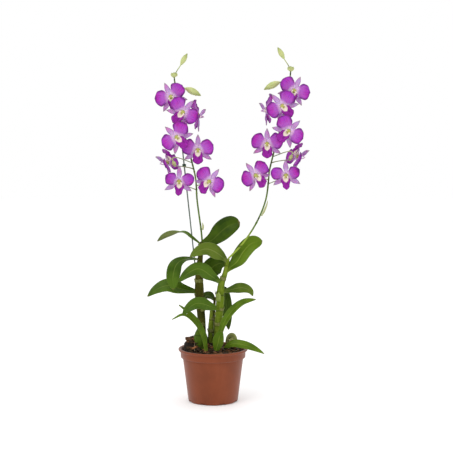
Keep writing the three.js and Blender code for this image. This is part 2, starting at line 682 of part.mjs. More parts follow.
function stakeAndClips(curve, stemRadiusAt, stemAt) {
  const { share, centre } = stemAt(STAKE_LINE.topHeight - 0.25);
  const apart = stemRadiusAt(share) + STAKE.radius + CLIP.wall + 2 * CLIP.clearance;
  const top = vec(centre.x, centre.y + apart, centre.z + 0.25 * REACH);
  const foot = vec(STAKE_LINE.footX, STAKE_LINE.footY, barkEdge - STAKE.depth);
  const line = new THREE.LineCurve3(foot, top);
  const stake = piece("stake", rod(line, () => STAKE.radius, 1, STAKE.sides), "stake");
  stake.userData.line = line;

  const onStake = (z) => {
    const t = (z - foot.z) / (top.z - foot.z);
    return foot.clone().lerp(top, t);
  };
  const clip = (name, z, stemCentre, stemRadius) => {
    const here = onStake(z);
    const holes = [{ x: 0, y: 0, r: STAKE.radius + CLIP.clearance }];
    if (stemCentre) {
      const across = stemCentre.clone().sub(here);
      holes.push({ x: across.x, y: across.y, r: stemRadius + CLIP.clearance });
    }
    const far = holes[holes.length - 1];
    const body = joined(
      holes.map(({ x, y, r }) => {
        const tube = new THREE.CylinderGeometry(r + CLIP.wall, r + CLIP.wall, CLIP.height, 12);
        return tube.rotateX(Math.PI / 2).translate(x, y, 0);
      }),
    );
    const bridge = new THREE.BoxGeometry(CLIP.wall * 1.6, Math.hypot(far.x, far.y) + 1, CLIP.height);
    bridge.rotateZ(Math.atan2(-far.x, far.y)).translate(far.x / 2, far.y / 2, 0);
    const cut = joined(
      holes.map(({ x, y, r }) => {
        const bore = new THREE.CylinderGeometry(r, r, CLIP.height * 2, 12);
        return bore.rotateX(Math.PI / 2).translate(x, y, 0);
      }),
    );
    const mesh = piece(name, geometryOf(body.add(solidOf(bridge)).subtract(cut)), "clip");
    mesh.position.copy(here);
    return mesh;
  };
  const lowClip = stemAt(1.4).centre.z;
  return [
    stake,
    clip("clip_top", centre.z, centre, stemRadiusAt(share)),
    clip("clip_low", lowClip),
  ];
}

// ---------------------------------------------------------------- the whole plant
const plant = new THREE.Group();
plant.add(pot());

const sockets = [];
for (const [name, cane] of Object.entries(CANES)) {
  plant.add(piece(name, caneShape(cane), cane.look));
  const [[footX, footY, footZ], ...rest] = cane.line;
  const deeper = curveOf([[footX, footY, footZ - GAP], ...rest]);
  sockets.push(rod(deeper, (t) => caneRadius(cane, t) + GAP * 1.5, caneSteps, CANE_SIDES));
}
const rooted = (plans) => {
  const holes = plans.map((plan) =>
    leafGeometry(plan, LEAF_THICKNESS + 8 * GAP, 8 * GAP).translate(0, 0, -2 * GAP),
  );
  sockets.push(...holes);
};
for (const [name, plan] of Object.entries(LEAVES)) {
  plant.add(piece(name, leafGeometry(plan), plan.look ?? "leaf"));
  if (plan.from) rooted([plan]);
}
for (const [name, plans] of Object.entries(SHOOTS)) {
  const leaves = plans.map((plan) => leafGeometry(plan));
  plant.add(piece(name, geometryOf(joined(leaves)), "leaf"));
  rooted(plans);
}

const caneTop = (name) => CANES[name].curve.getPointAt(1);
const leftSpray = spray({
  name: "left",
  side: 1,
  foot: caneTop("cane_left").add(vec(0, 0, STEM.baseRadius + GAP)),
  footWay: vec(-0.06, 0, 1).normalize(),
  top: vec(-29, 4, barkEdge + 288.5),
  bract: [-2.8, -2.3],
  hasStake: true,
});
const rightSpray = spray({
  name: "right",
  side: -1,
  foot: caneTop("cane_right").add(vec(2, -1, STEM.baseRadius + GAP)),
  footWay: vec(0.75, 0, 0.66).normalize(),
  top: vec(97, 4, barkEdge + 299),
  bract: [-2.2, -1.15],
  hasStake: false,
});
plant.add(leftSpray, rightSpray);

plant.updateMatrixWorld(true);
const stakeLine = plant.getObjectByName("stake").userData.line;
const stakeHole = new THREE.LineCurve3(stakeLine.v1.clone().sub(vec(0, 0, GAP)), stakeLine.v2);
sockets.push(rod(stakeHole, () => STAKE.radius + GAP * 1.5, 1, STAKE.sides));
plant.add(barkFilling(sockets));

export default plant;
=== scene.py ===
"""A potted dendrobium orchid: nursery pot, bark, canes, leaves and two flower sprays."""

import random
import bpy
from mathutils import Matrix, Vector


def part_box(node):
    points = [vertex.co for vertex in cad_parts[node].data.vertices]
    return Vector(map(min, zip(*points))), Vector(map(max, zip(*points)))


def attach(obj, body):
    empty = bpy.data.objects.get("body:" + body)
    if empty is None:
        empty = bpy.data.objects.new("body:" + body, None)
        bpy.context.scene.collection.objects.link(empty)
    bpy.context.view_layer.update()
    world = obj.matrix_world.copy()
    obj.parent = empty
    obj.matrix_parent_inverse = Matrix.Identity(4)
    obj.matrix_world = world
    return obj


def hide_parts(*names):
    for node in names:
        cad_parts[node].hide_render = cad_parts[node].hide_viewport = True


bl_info = {
    "name": "Potted dendrobium",
    "version": (1, 0, 0),
    "blender": (4, 5, 0),
    "location": "View3D > Sidebar > Orchid",
    "description": "Models a potted dendrobium orchid around its packed frame",
    "category": "Add Mesh",
}

from collections import namedtuple
from math import atan2, cos, exp, hypot, pi, radians, sin, sqrt

import bpy
from bpy.props import FloatProperty, FloatVectorProperty, IntProperty, PointerProperty
from mathutils import Matrix, Vector, noise

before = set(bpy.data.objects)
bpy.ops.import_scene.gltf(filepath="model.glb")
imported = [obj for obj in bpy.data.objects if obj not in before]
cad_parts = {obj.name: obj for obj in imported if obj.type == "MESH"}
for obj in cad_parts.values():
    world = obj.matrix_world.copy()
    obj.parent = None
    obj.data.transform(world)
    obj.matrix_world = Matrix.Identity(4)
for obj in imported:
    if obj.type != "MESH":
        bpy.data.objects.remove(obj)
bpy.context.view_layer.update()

MM = 0.001  # everything below is worked out in millimetres and stored in metres


# ---- shape helpers
def clamp(t):
    return min(1.0, max(0.0, t))


def smooth(t):
    t = clamp(t)
    return t * t * (3 - 2 * t)


def lerp(a, b, t):
    return a + (b - a) * t


def through(t, stops):
    """The value at t of an eased line through (t, value) stops."""
    for (t0, a), (t1, b) in zip(stops, stops[1:]):
        if t <= t1:
            return lerp(a, b, smooth((t - t0) / (t1 - t0)))
    return stops[-1][1]


def deselect():
    bpy.ops.object.select_all(action="DESELECT")


def pick(*objects):
    deselect()
    for o in objects:
        o.select_set(True)
    bpy.context.view_layer.objects.active = objects[0]
    return objects[0]


def edit(obj, *steps):
    """Runs edit-mode steps on the whole of a piece."""
    pick(obj)
    bpy.ops.object.mode_set(mode="EDIT")
    bpy.ops.mesh.select_all(action="SELECT")
    for step in steps:
        step()
    bpy.ops.object.mode_set(mode="OBJECT")
    return obj


def applied(obj, kind, **values):
    pick(obj)
    modifier = obj.modifiers.new(kind.title(), kind)
    for key, value in values.items():
        setattr(modifier, key, value)
    bpy.ops.object.modifier_apply(modifier=modifier.name)
    return obj


def joined(name, objects):
    pick(*objects)
    if len(objects) > 1:
        bpy.ops.object.join()
    whole = bpy.context.view_layer.objects.active
    whole.name = name
    whole.data.name = name
    return whole


BLANKS = {}


def blank(across, along):
    """A flat grid with its own UV map, modelled once for each count and then copied."""
    if (across, along) not in BLANKS:
        deselect()
        bpy.ops.mesh.primitive_grid_add(x_subdivisions=across, y_subdivisions=along, size=1)
        first = bpy.context.object
        BLANKS[across, along] = first.data.copy()
        bpy.data.objects.remove(first)
    return BLANKS[across, along].copy()


def placed(name, data):
    """Adds an object that holds the data to the scene."""
    obj = bpy.data.objects.new(name, data)
    bpy.context.scene.collection.objects.link(obj)
    return obj


def piece_of(name, mesh, *materials):
    obj = placed(name, mesh)
    mesh.materials.clear()
    for material in materials:
        mesh.materials.append(material)
    for polygon in mesh.polygons:
        polygon.use_smooth = True
    return obj


def shaped(name, across, along, place, *materials):
    """A grid whose point at (u, v) goes to place(u, v), in millimetres."""
    mesh = blank(across, along)
    for vertex in mesh.vertices:
        vertex.co = place(vertex.co.x + 0.5, vertex.co.y + 0.5) * MM
    return piece_of(name, mesh, *materials)


def thick(obj, thickness, under=0):
    """Gives a sheet its thickness, half to each side; `under` is the underside's material."""
    return applied(
        obj, "SOLIDIFY", thickness=thickness * MM, offset=0.0, material_offset=under,
        material_offset_rim=0, use_even_offset=False,
    )


def finished(obj, slot, *nodes):
    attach(obj, "root")
    if nodes:
        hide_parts(*nodes)
    return obj


def marked(obj, name, value):
    """Stores a number on every point of a piece, for its material."""
    layer = obj.data.attributes.new(name, "FLOAT", "POINT")
    layer.data.foreach_set("value", [value(v.co / MM) for v in obj.data.vertices])
    return obj


# ---- lines through space
def curve_points(points, count):
    """A smooth line through some points, as count + 1 places an even distance apart."""
    points, per_span = [Vector(p) for p in points], 24
    ends = [points[0] * 2 - points[1], *points, points[-1] * 2 - points[-2]]
    dense = []
    for p0, p1, p2, p3 in zip(ends, ends[1:], ends[2:], ends[3:]):
        d0, d1, d2 = (sqrt((b - a).length) for a, b in ((p0, p1), (p1, p2), (p2, p3)))
        m1 = ((p1 - p0) / d0 - (p2 - p0) / (d0 + d1) + (p2 - p1) / d1) * d1
        m2 = ((p2 - p1) / d1 - (p3 - p1) / (d1 + d2) + (p3 - p2) / d2) * d1
        for i in range(per_span):
            t = i / per_span
            square, cube = t * t, t * t * t
            dense.append(
                p1 + m1 * t + (p2 * 3 - p1 * 3 - m1 * 2 - m2) * square
                + (p1 * 2 - p2 * 2 + m1 + m2) * cube
            )
    dense.append(points[-1])
    return evenly(dense, count)


def bezier_points(a, b, c, d, count):
    dense = []
    for i in range(61):
        t = i / 60
        s = 1 - t
        dense.append(a * s**3 + b * 3 * s * s * t + c * 3 * s * t * t + d * t**3)
    return evenly(dense, count)


def evenly(dense, count):
    """The same line, as count + 1 places an even distance apart."""
    far = [0.0]
    for a, b in zip(dense, dense[1:]):
        far.append(far[-1] + (b - a).length)
    out, k = [], 0
    for i in range(count + 1):
        want = far[-1] * i / count
        while k < len(far) - 2 and far[k + 1] < want:
            k += 1
        span = far[k + 1] - far[k]
        out.append(dense[k].lerp(dense[k + 1], clamp((want - far[k]) / span if span else 0)))
    return out


def tangents(points):
    last = len(points) - 1
    return [
        (points[min(last, i + 1)] - points[max(0, i - 1)]).normalized() for i in range(last + 1)
    ]


def at_height(points, z):
    """The place on a rising line at a height, and its share of the length."""
    for i, (a, b) in enumerate(zip(points, points[1:])):
        if b.z >= z:
            t = clamp((z - a.z) / (b.z - a.z)) if b.z != a.z else 0.0
            return a.lerp(b, t), (i + t) / (len(points) - 1)
    return points[-1], 1.0


def path_spine(points, face, face_tip, count):
    """Stations down the middle of a leaf: (place, side, up)."""
    line = curve_points(points, count)
    looks = [Vector(face).normalized(), Vector(face_tip).normalized()]
    stations = []
    for i, (at, along) in enumerate(zip(line, tangents(line))):
        side = looks[0].lerp(looks[1], smooth(i / count)).cross(along).normalized()
        stations.append((at, side, along.cross(side)))
    return stations


def arc_spine(base, azimuth, rise, droop, length, count):
    """Stations down the middle of a flower part, which leaves its base at an azimuth and a rise
    and droops by so many degrees along its length."""
    turn = radians(azimuth)
    side = Vector((-sin(turn), cos(turn), 0))
    at, stations = Vector(base), []
    for i in range(count + 1):
        climb = radians(rise - droop * i / count)
        level = cos(climb)
        along = Vector((cos(turn) * level, sin(turn) * level, sin(climb)))
        stations.append((at.copy(), side, along.cross(side)))
        at = at + along * (length / count)
    return stations


def closed(obj):
    """Welds the seam and the ends of a rolled grid, and turns its faces outward."""
    return edit(
        obj,
        lambda: bpy.ops.mesh.remove_doubles(threshold=1e-6),
        lambda: bpy.ops.mesh.normals_make_consistent(inside=False),
    )


def tube(name, line, radius, sides, *materials):
    """A closed round rod along a line; radius(t) is in millimetres."""
    ways = tangents(line)
    normal = ways[0].orthogonal().normalized()
    rings = []
    for at, way in zip(line, ways):
        normal = (normal - way * normal.dot(way)).normalized()
        rings.append((at, normal, way.cross(normal)))
    steps = len(line) - 1
    rows = steps + 2

    def place(u, v):
        row = round(v * rows)
        i = min(steps, max(0, row - 1))
        at, a, b = rings[i]
        r = 0.0 if row in (0, rows) else radius(i / steps)
        turn = -2 * pi * u
        return at + a * (r * cos(turn)) + b * (r * sin(turn))

    return closed(shaped(name, sides, rows, place, *materials))


# ---- material helpers
class Finish:
    """A procedural material, built up node by node."""

    def __init__(self, name, **shader):
        self.material = bpy.data.materials.new(name)
        self.material.use_nodes = True
        self.tree = self.material.node_tree
        self.shader = self.tree.nodes["Principled BSDF"]
        self.fed(self.shader, **{key.replace("_", " "): value for key, value in shader.items()})
        coords = self.node("TexCoord").outputs
        self.at, self.sheet = coords["Object"], coords["UV"]
        self.bumps = None

    def link(self, value, socket):
        if hasattr(value, "links"):
            self.tree.links.new(value, socket)
        else:
            socket.default_value = (*value, 1) if socket.type == "RGBA" else value

    def node(self, kind, *values, **options):
        """Adds a node with its options, and fills its first inputs."""
        node = self.tree.nodes.new("ShaderNode" + kind)
        for key, value in options.items():
            setattr(node, key, value)
        for value, socket in zip(values, node.inputs):
            self.link(value, socket)
        return node

    def fed(self, node, **values):
        """Fills a node's inputs by name, and gives its first output."""
        for key, value in values.items():
            self.link(value, node.inputs[key])
        return node.outputs[0]

    def uv(self):
        return self.node("SeparateXYZ", self.sheet).outputs[:2]

    def off_middle(self):
        """How far a point of a sheet is from its middle line, and how far along it is."""
        u, v = self.uv()
        return self.calc("ABSOLUTE", self.calc("SUBTRACT", u, 0.5)), v

    def number(self, name):
        return self.node("Attribute", attribute_name=name).outputs["Fac"]

    def noise(self, scale, detail, at=None):
        node = self.node("TexNoise", at or self.at)
        return self.fed(node, Scale=scale, Detail=detail, Roughness=0.55)

    def stretched(self, scale, detail, *stretch):
        """Noise drawn out along the axes of the object."""
        return self.noise(scale, detail, self.fed(self.node("Mapping", self.at), Scale=stretch))

    def runs(self, detail, across, along):
        """Noise drawn out along the piece, in its own UV map."""
        node = self.node("Mapping", self.sheet)
        return self.noise(1.0, detail, self.fed(node, Scale=(across, along, 1.0)))

    def calc(self, operation, *values):
        return self.node("Math", *values, operation=operation).outputs[0]

    def times(self, a, b):
        return self.calc("MULTIPLY", a, b)

    def part(self, value, low, high, to_low=0.0, to_high=1.0):
        """An eased share between two values."""
        ends = (value, low, high, to_low, to_high)
        return self.node("MapRange", *ends, interpolation_type="SMOOTHSTEP").outputs[0]

    def mix(self, share, a, b):
        node = self.node("Mix", share, data_type="RGBA")
        self.link(a, node.inputs[6])
        self.link(b, node.inputs[7])
        return node.outputs[2]

    def over(self, body, share, amount, colour):
        """Lays a colour over the body, by a share times an amount."""
        return self.mix(self.times(share, amount), body, colour)

    def bump(self, height, strength, distance):
        node = self.node("Bump")
        if self.bumps:
            self.link(self.bumps, node.inputs["Normal"])
        self.bumps = self.fed(node, Height=height, Strength=strength, Distance=distance)

    def done(self, colour, roughness):
        made = {"Base Color": colour, "Roughness": roughness, "Normal": self.bumps}
        self.fed(self.shader, **made)
        return self.material


MADE = {}


def finish_of(name, build, *args):
    """Each finish is built once and then shared."""
    if name not in MADE:
        MADE[name] = build(name, *args)
    return MADE[name]


def toned(colour, *shares):
    return tuple(c * s for c, s in zip(colour, shares * (3 // len(shares))))


def pot_finish(name, colour):
    """Moulded plastic: mottled, with pale runs down it and painted shade inside the lip."""
    f = Finish(name, Specular_IOR_Level=0.14, IOR=1.46, Sheen_Weight=0.22, Sheen_Roughness=0.45)
    cloud, grain = f.noise(22.0, 5.0), f.noise(900.0, 3.0)
    run = f.stretched(9.0, 3.0, 6.0, 6.0, 0.7)
    body = f.mix(f.part(cloud, 0.3, 0.7), toned(colour, 0.8), colour)
    body = f.over(body, f.part(run, 0.45, 0.75), 0.45, toned(colour, 1.12, 1.2, 1.3))
    # painted shade: a darker, duller brown laid over the inner face of the lip
    body = f.over(body, f.number("dust"), f.part(cloud, 0.3, 0.6), (0.12, 0.07, 0.04))
    f.bump(grain, 0.12, 0.0002)
    f.bump(run, 0.1, 0.0006)
    return f.done(body, f.part(cloud, 0.2, 0.8, 0.42, 0.56))


def bark_finish(name, dark, light):
    """Broken bark: each piece has its own tone, with dark grain and pale patches; on the loose
    flakes the tone also carries painted light.
    """
    f = Finish(name, Specular_IOR_Level=0.25)
    grain, patch = f.stretched(160.0, 6.0, 1.0, 2.6, 1.0), f.noise(60.0, 5.0)
    body = f.mix(f.number("tone"), dark, light)
    body = f.mix(f.part(grain, 0.4, 0.7), body, toned(dark, 0.35))
    body = f.over(body, f.part(patch, 0.6, 0.75), 0.35, (0.3, 0.2, 0.11))
    f.bump(grain, 0.9, 0.0012)
    f.bump(patch, 0.6, 0.002)
    return f.done(body, f.part(grain, 0.2, 0.8, 0.8, 0.97))


def leaf_finish(name, deep, fresh, rib, shine):
    """Blade of a leaf: patches of painted light and shade, rib, parallel veins, paler margin,
    yellowed foot and browned tip.
    """
    f = Finish(
        name, Specular_IOR_Level=0.07 * shine, Coat_Weight=0.04 * shine, Coat_Roughness=0.2,
        Sheen_Weight=0.09 * shine, Sheen_Roughness=0.35,
    )
    off, v = f.off_middle()
    cloud, fine, run = f.noise(20.0, 3.0), f.noise(210.0, 3.0), f.runs(3.0, 34.0, 2.2)
    # deep is the painted shade and fresh the painted light of the green; cloud noise lays them over
    # the blade in patches
    body = f.mix(f.part(cloud, 0.34, 0.64, 0.12, 0.92), deep, fresh)
    body = f.over(body, f.part(run, 0.45, 0.66), 0.22, fresh)
    body = f.over(body, f.part(run, 0.45, 0.3), 0.22, deep)
    body = f.over(body, f.times(f.part(off, 0.05, 0.012), f.part(v, 0.98, 0.6)), 0.4, rib)
    body = f.over(body, f.part(off, 0.46, 0.5), 0.3, rib)
    body = f.over(body, f.part(v, 0.16, 0.0), 0.65, rib)
    tip = f.times(f.part(v, 0.95, 1.0), f.part(fine, 0.3, 0.6))
    body = f.over(body, tip, 0.7, (0.17, 0.12, 0.04))
    f.bump(run, 0.25, 0.0005)
    f.bump(fine, 0.08, 0.0003)
    return f.done(body, f.part(cloud, 0.25, 0.8, 0.34, 0.48))


def dry_finish(name, dark, light):
    """Papery tissue: runs along it and small dark spots."""
    f = Finish(name, Specular_IOR_Level=0.12)
    run, spots = f.runs(5.0, 26.0, 2.0), f.noise(240.0, 4.0)
    body = f.mix(f.part(run, 0.35, 0.65), dark, light)
    body = f.over(body, f.part(spots, 0.58, 0.7), 0.6, toned(dark, 0.45))
    f.bump(run, 0.7, 0.0008)
    return f.done(body, f.part(spots, 0.3, 0.7, 0.6, 0.82))


def cane_finish(name, base, light, dark):
    """Skin of a cane: ribs along it, bleached streaks, and a dark ring at each joint."""
    f = Finish(name, Specular_IOR_Level=0.07)
    run, cloud = f.runs(4.0, 16.0, 3.0), f.noise(55.0, 4.0)
    body = f.mix(f.part(cloud, 0.35, 0.68), base, light)
    body = f.over(body, f.part(run, 0.5, 0.7), 0.6, light)
    body = f.over(body, f.part(run, 0.46, 0.3), 0.5, dark)
    body = f.mix(f.number("fresh"), body, (0.30, 0.40, 0.05))
    body = f.over(body, f.number("shaded"), 0.55, dark)
    body = f.over(body, f.number("ring"), 0.85, dark)
    f.bump(run, 0.6, 0.0009)
    f.bump(cloud, 0.2, 0.0005)
    return f.done(body, f.part(cloud, 0.3, 0.7, 0.42, 0.62))


def petal_finish(name, heart, body_colour, rim, heart_end, green_tip=0.0):
    """A flower part: pale heart, veins that fan out, and a darker rim."""
    f = Finish(
        name, Specular_IOR_Level=0.12, Sheen_Weight=0.1, Sheen_Roughness=0.4,
        Subsurface_Weight=0.12, Subsurface_Scale=0.002,
    )
    off, v = f.off_middle()
    veins, cloud = f.runs(3.0, 44.0, 2.0), f.noise(70.0, 3.0)
    soft = f.calc("MULTIPLY_ADD", f.calc("SUBTRACT", cloud, 0.5), 0.25, v)
    blush = tuple(lerp(a, b, 0.15) for a, b in zip(body_colour, heart))
    body = f.mix(f.part(cloud, 0.4, 0.65), body_colour, toned(body_colour, 1.12, 0.6, 0.82))
    body = f.mix(f.part(soft, 0.85, 0.3), body, blush)
    body = f.mix(f.part(soft, heart_end * 0.35, heart_end), heart, body)
    body = f.over(body, f.part(veins, 0.5, 0.66), 0.5, rim)
    edge = f.calc("MAXIMUM", f.part(off, 0.30, 0.49), f.part(soft, 0.80, 1.0))
    edge = f.times(edge, f.part(v, heart_end * 0.6, heart_end * 1.3))
    body = f.over(body, edge, 0.9, rim)
    if green_tip:
        body = f.over(body, f.part(v, 0.72, 0.98), green_tip, (0.3, 0.29, 0.2))
    f.bump(veins, 0.35, 0.0004)
    return f.done(body, f.part(cloud, 0.3, 0.7, 0.42, 0.58))


def lip_finish(name, throat, body_colour, rim):
    """The lip: a pale throat that reaches further down the middle than at the sides."""
    f = Finish(name, Specular_IOR_Level=0.15, Sheen_Weight=0.12, Sheen_Roughness=0.35)
    off, v = f.off_middle()
    veins, cloud = f.runs(4.0, 30.0, 3.0), f.noise(110.0, 3.0)
    reach = f.calc("MULTIPLY_ADD", off, 0.5, v)
    body = f.mix(f.part(veins, 0.4, 0.68), body_colour, rim)
    body = f.mix(f.part(reach, 0.40, 0.48), throat, body)
    edge = f.calc("MAXIMUM", f.part(off, 0.38, 0.5), f.part(v, 0.86, 1.0))
    body = f.over(body, f.times(edge, f.part(reach, 0.46, 0.58)), 0.7, rim)
    f.bump(veins, 0.5, 0.0005)
    f.bump(cloud, 0.3, 0.0004)
    return f.done(body, f.part(cloud, 0.3, 0.7, 0.4, 0.6))


def waxy_finish(name, low, high, spot, v_low=0.2, v_high=0.8):
    """Buds, stalks and the column: two tones along the piece, faint runs and speckles."""
    f = Finish(name, Specular_IOR_Level=0.4, Subsurface_Weight=0.08, Subsurface_Scale=0.002)
    _, v = f.uv()
    cloud, run = f.noise(120.0, 4.0), f.runs(3.0, 12.0, 3.0)
    soft = f.calc("MULTIPLY_ADD", cloud, 0.3, v)
    body = f.mix(f.part(soft, v_low + 0.15, v_high + 0.15), low, high)
    body = f.over(body, f.part(run, 0.52, 0.68), 0.5, spot)
    f.bump(run, 0.4, 0.0004)
    return f.done(body, f.part(cloud, 0.3, 0.7, 0.38, 0.55))


def rod_finish(name, colour, dark):
    """A moulded support: mottled, with scuffs along it."""
    f = Finish(name, Specular_IOR_Level=0.4)
    cloud, scuff = f.noise(80.0, 4.0), f.stretched(40.0, 4.0, 8.0, 8.0, 0.6)
    body = f.mix(f.part(cloud, 0.35, 0.65), colour, dark)
    body = f.over(body, f.part(scuff, 0.55, 0.7), 0.4, toned(colour, 1.5))
    f.bump(scuff, 0.3, 0.0003)
    return f.done(body, f.part(cloud, 0.3, 0.7, 0.4, 0.6))


# ---- sizes and colours
POT_LOW, POT_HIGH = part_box("pot")
POT_HEIGHT = (POT_HIGH.z - POT_LOW.z) / MM
LIP_RADIUS = (POT_HIGH.x - POT_LOW.x) / 2 / MM
BARK_EDGE = POT_HEIGHT - 5
CANE_FOOT = -24
SHOULDER = 53.5  # outside of the pot's body just under its band
GAP = 0.3


def colour_of(name, description, default):
    return FloatVectorProperty(
        name=name, description=description, default=default, subtype="COLOR", min=0, max=1
    )


def length_of(name, description, default):
    return FloatProperty(name=name, description=description, default=default * MM, unit="LENGTH")


class OrchidPotSettings(bpy.types.PropertyGroup):
    height: length_of("Height", "From the foot to the top of the lip", POT_HEIGHT)
    radius: length_of("Lip radius", "Outside of the rolled lip", LIP_RADIUS)
    colour: colour_of("Plastic", "Colour of the pot's plastic", (0.215, 0.051, 0.019))
    chips: IntProperty(name="Chips", description="Loose pieces of bark", default=230, min=0)


class OrchidPlantSettings(bpy.types.PropertyGroup):
    leaf_thickness: length_of("Leaf thickness", "Thickness of a leaf", 1.1)
    leaf_deep: colour_of("Deep green", "Older leaves in shade", (0.016, 0.046, 0.001))
    leaf_fresh: colour_of("Fresh green", "Lit parts of older leaves", (0.072, 0.138, 0.008))
    rib: colour_of("Rib", "Ribs, margins and feet of the leaves", (0.19, 0.25, 0.045))


class OrchidFlowerSettings(bpy.types.PropertyGroup):
    petal: colour_of("Petal", "Main colour of the petals", (0.36, 0.034, 0.455))
    rim: colour_of("Rim", "Edges and veins of the petals", (0.11, 0.008, 0.15))
    heart: colour_of("Heart", "Feet of the petals and sepals", (0.68, 0.50, 0.74))
    lip: colour_of("Lip", "Middle lobe of the lip", (0.34, 0.014, 0.36))
    throat: colour_of("Throat", "Throat of the lip", (0.80, 0.70, 0.60))
    petal_thickness: length_of("Petal thickness", "Thickness of a petal", 0.55)


# ---- pot
def turned(name, profile, sides, material):
    """A round wall drawn by extruding a circle up, in and down again along a profile."""
    deselect()
    (first_radius, first_height), *rest = profile
    bpy.ops.mesh.primitive_circle_add(
        vertices=sides, radius=first_radius * MM, location=(0, 0, first_height * MM)
    )
    wall = bpy.context.object
    wall.name = name
    bpy.ops.object.mode_set(mode="EDIT")
    bpy.ops.mesh.select_all(action="SELECT")
    radius, height = first_radius, first_height
    for next_radius, next_height in rest:
        bpy.ops.mesh.extrude_region_move(
            TRANSFORM_OT_translate={"value": (0, 0, (next_height - height) * MM)}
        )
        share = next_radius / radius
        bpy.ops.transform.resize(
            value=(share, share, 1), center_override=(0, 0, next_height * MM)
        )
        radius, height = next_radius, next_height
    bpy.ops.object.mode_set(mode="OBJECT")
    pick(wall)
    bpy.ops.object.transform_apply(location=True, rotation=True, scale=True)
    wall.data.materials.append(material)
    return wall


class ORCHID_OT_pot(bpy.types.Operator):
    """Turns the plastic nursery pot, with its lip, band, floor and drain notches"""

    bl_idname = "orchid.pot"
    bl_label = "Pot"

    def execute(self, context):
        wanted = context.scene.orchid_pot
        top, lip = wanted.height / MM, wanted.radius / MM
        band, foot, wall, floor = lip - 3.5, 44, 1.6, 2.4
        lip_foot, band_foot = top - 4, top - 16
        outside = [
            (30, 0.9), (38, 0.8), (39, 0), (42.2, 0.1), (43.4, 0.8), (44, 2.4),
            (lerp(foot, SHOULDER, 0.33), lerp(3, band_foot, 0.33)),
            (lerp(foot, SHOULDER, 0.66), lerp(3, band_foot, 0.66)),
            (SHOULDER - 0.2, band_foot - 2.2), (SHOULDER, band_foot - 0.9),
            (SHOULDER + 1.2, band_foot - 0.1), (band - 1.0, band_foot + 0.2),
            (band - 0.35, band_foot + 1.2),
            (band - 0.2, lerp(band_foot, lip_foot, 0.5)), (band, lip_foot - 0.6),
            (band + 0.4, lip_foot), (lip - 0.9, lip_foot + 0.1), (lip - 0.2, lip_foot + 0.7),
            (lip, lip_foot + 1.6), (lip, top - 1.3), (lip - 0.35, top - 0.4), (lip - 1.1, top),
            (lip - 2.6, top - 0.05),
        ]
        inside = [
            (band - wall + 0.9, top - 0.5), (band - wall + 0.2, top - 1.6),
            (band - wall, lip_foot), (band - 0.6 - wall, band_foot + 2.8),
            (SHOULDER - wall, band_foot + 0.8), (SHOULDER - wall - 0.2, band_foot - 2),
            (foot + 0.6 - wall, floor + 1.2), (foot - wall - 0.6, floor), (30, floor),
        ]
        clay = finish_of("pot_plastic", pot_finish, tuple(wanted.colour))
        pot = turned("nursery_pot", outside + inside, 128, clay)

        def close():
            bpy.ops.mesh.select_all(action="DESELECT")
            bpy.ops.mesh.select_non_manifold()
            bpy.ops.mesh.edge_face_add()

        edit(pot, close)
        notches, count = [], 8
        for i in range(count):
            turn = (i + 0.5) / count * 2 * pi
            deselect()
            bpy.ops.mesh.primitive_cube_add(
                size=MM, rotation=(0, 0, turn), scale=(7, 11, 6.4),
                location=(foot * MM * cos(turn), foot * MM * sin(turn), 0),
            )
            notches.append(bpy.context.object)
        cutter = joined("drain_cutter", notches)
        applied(cutter, "BEVEL", width=1.0 * MM, segments=3)
        applied(pot, "BOOLEAN", operation="DIFFERENCE", object=cutter, solver="EXACT")
        bpy.data.objects.remove(cutter)
        pick(pot)
        bpy.ops.object.shade_smooth_by_angle(angle=radians(42))
        # painted shade on the inner face of the lip, above its foot
        marked(pot, "dust", lambda p: 0.75 * (p.z > lip_foot and hypot(p.x, p.y) < band))
        finished(pot, "pot_plastic", "pot")
        return {"FINISHED"}


# ---- bark
HEAP = {"at": (-33, 3), "height": 20, "reach": 30}
CROWN = 10
GOLDEN_TURN, FULL_TURN = 2.39996, 6.283  # radians


def bark_top(x, y, near=1.0, fall=1.0):
    from_heap = hypot(x - HEAP["at"][0], y - HEAP["at"][1])
    crown = CROWN * smooth(1 - hypot(x, y) / (SHOULDER - 1.6))
    return BARK_EDGE + crown + HEAP["height"] * smooth(near - fall * from_heap / HEAP["reach"])


def heaped(x, y):
    """The top of the loose flakes, which stand in a broader heap than the bed in CAD."""
    return bark_top(x, y, 1.45, 1.3)


def chip_blank(seed):
    """One broken flake of bark: a block with its corners knocked about."""
    deselect()
    bpy.ops.mesh.primitive_cube_add(size=MM)
    flake = bpy.context.object
    draw = random.Random(seed)
    edit(flake, lambda: bpy.ops.mesh.subdivide(number_cuts=2))
    for vertex in flake.data.vertices:
        p = vertex.co / MM
        taper = 1 - 0.35 * abs(p.x)
        p = Vector((p.x, p.y * taper, p.z * taper + 0.18 * sin(p.x * 4 + seed)))
        vertex.co = (p + Vector([draw.uniform(-0.09, 0.09) for _ in range(3)])) * MM
    return flake


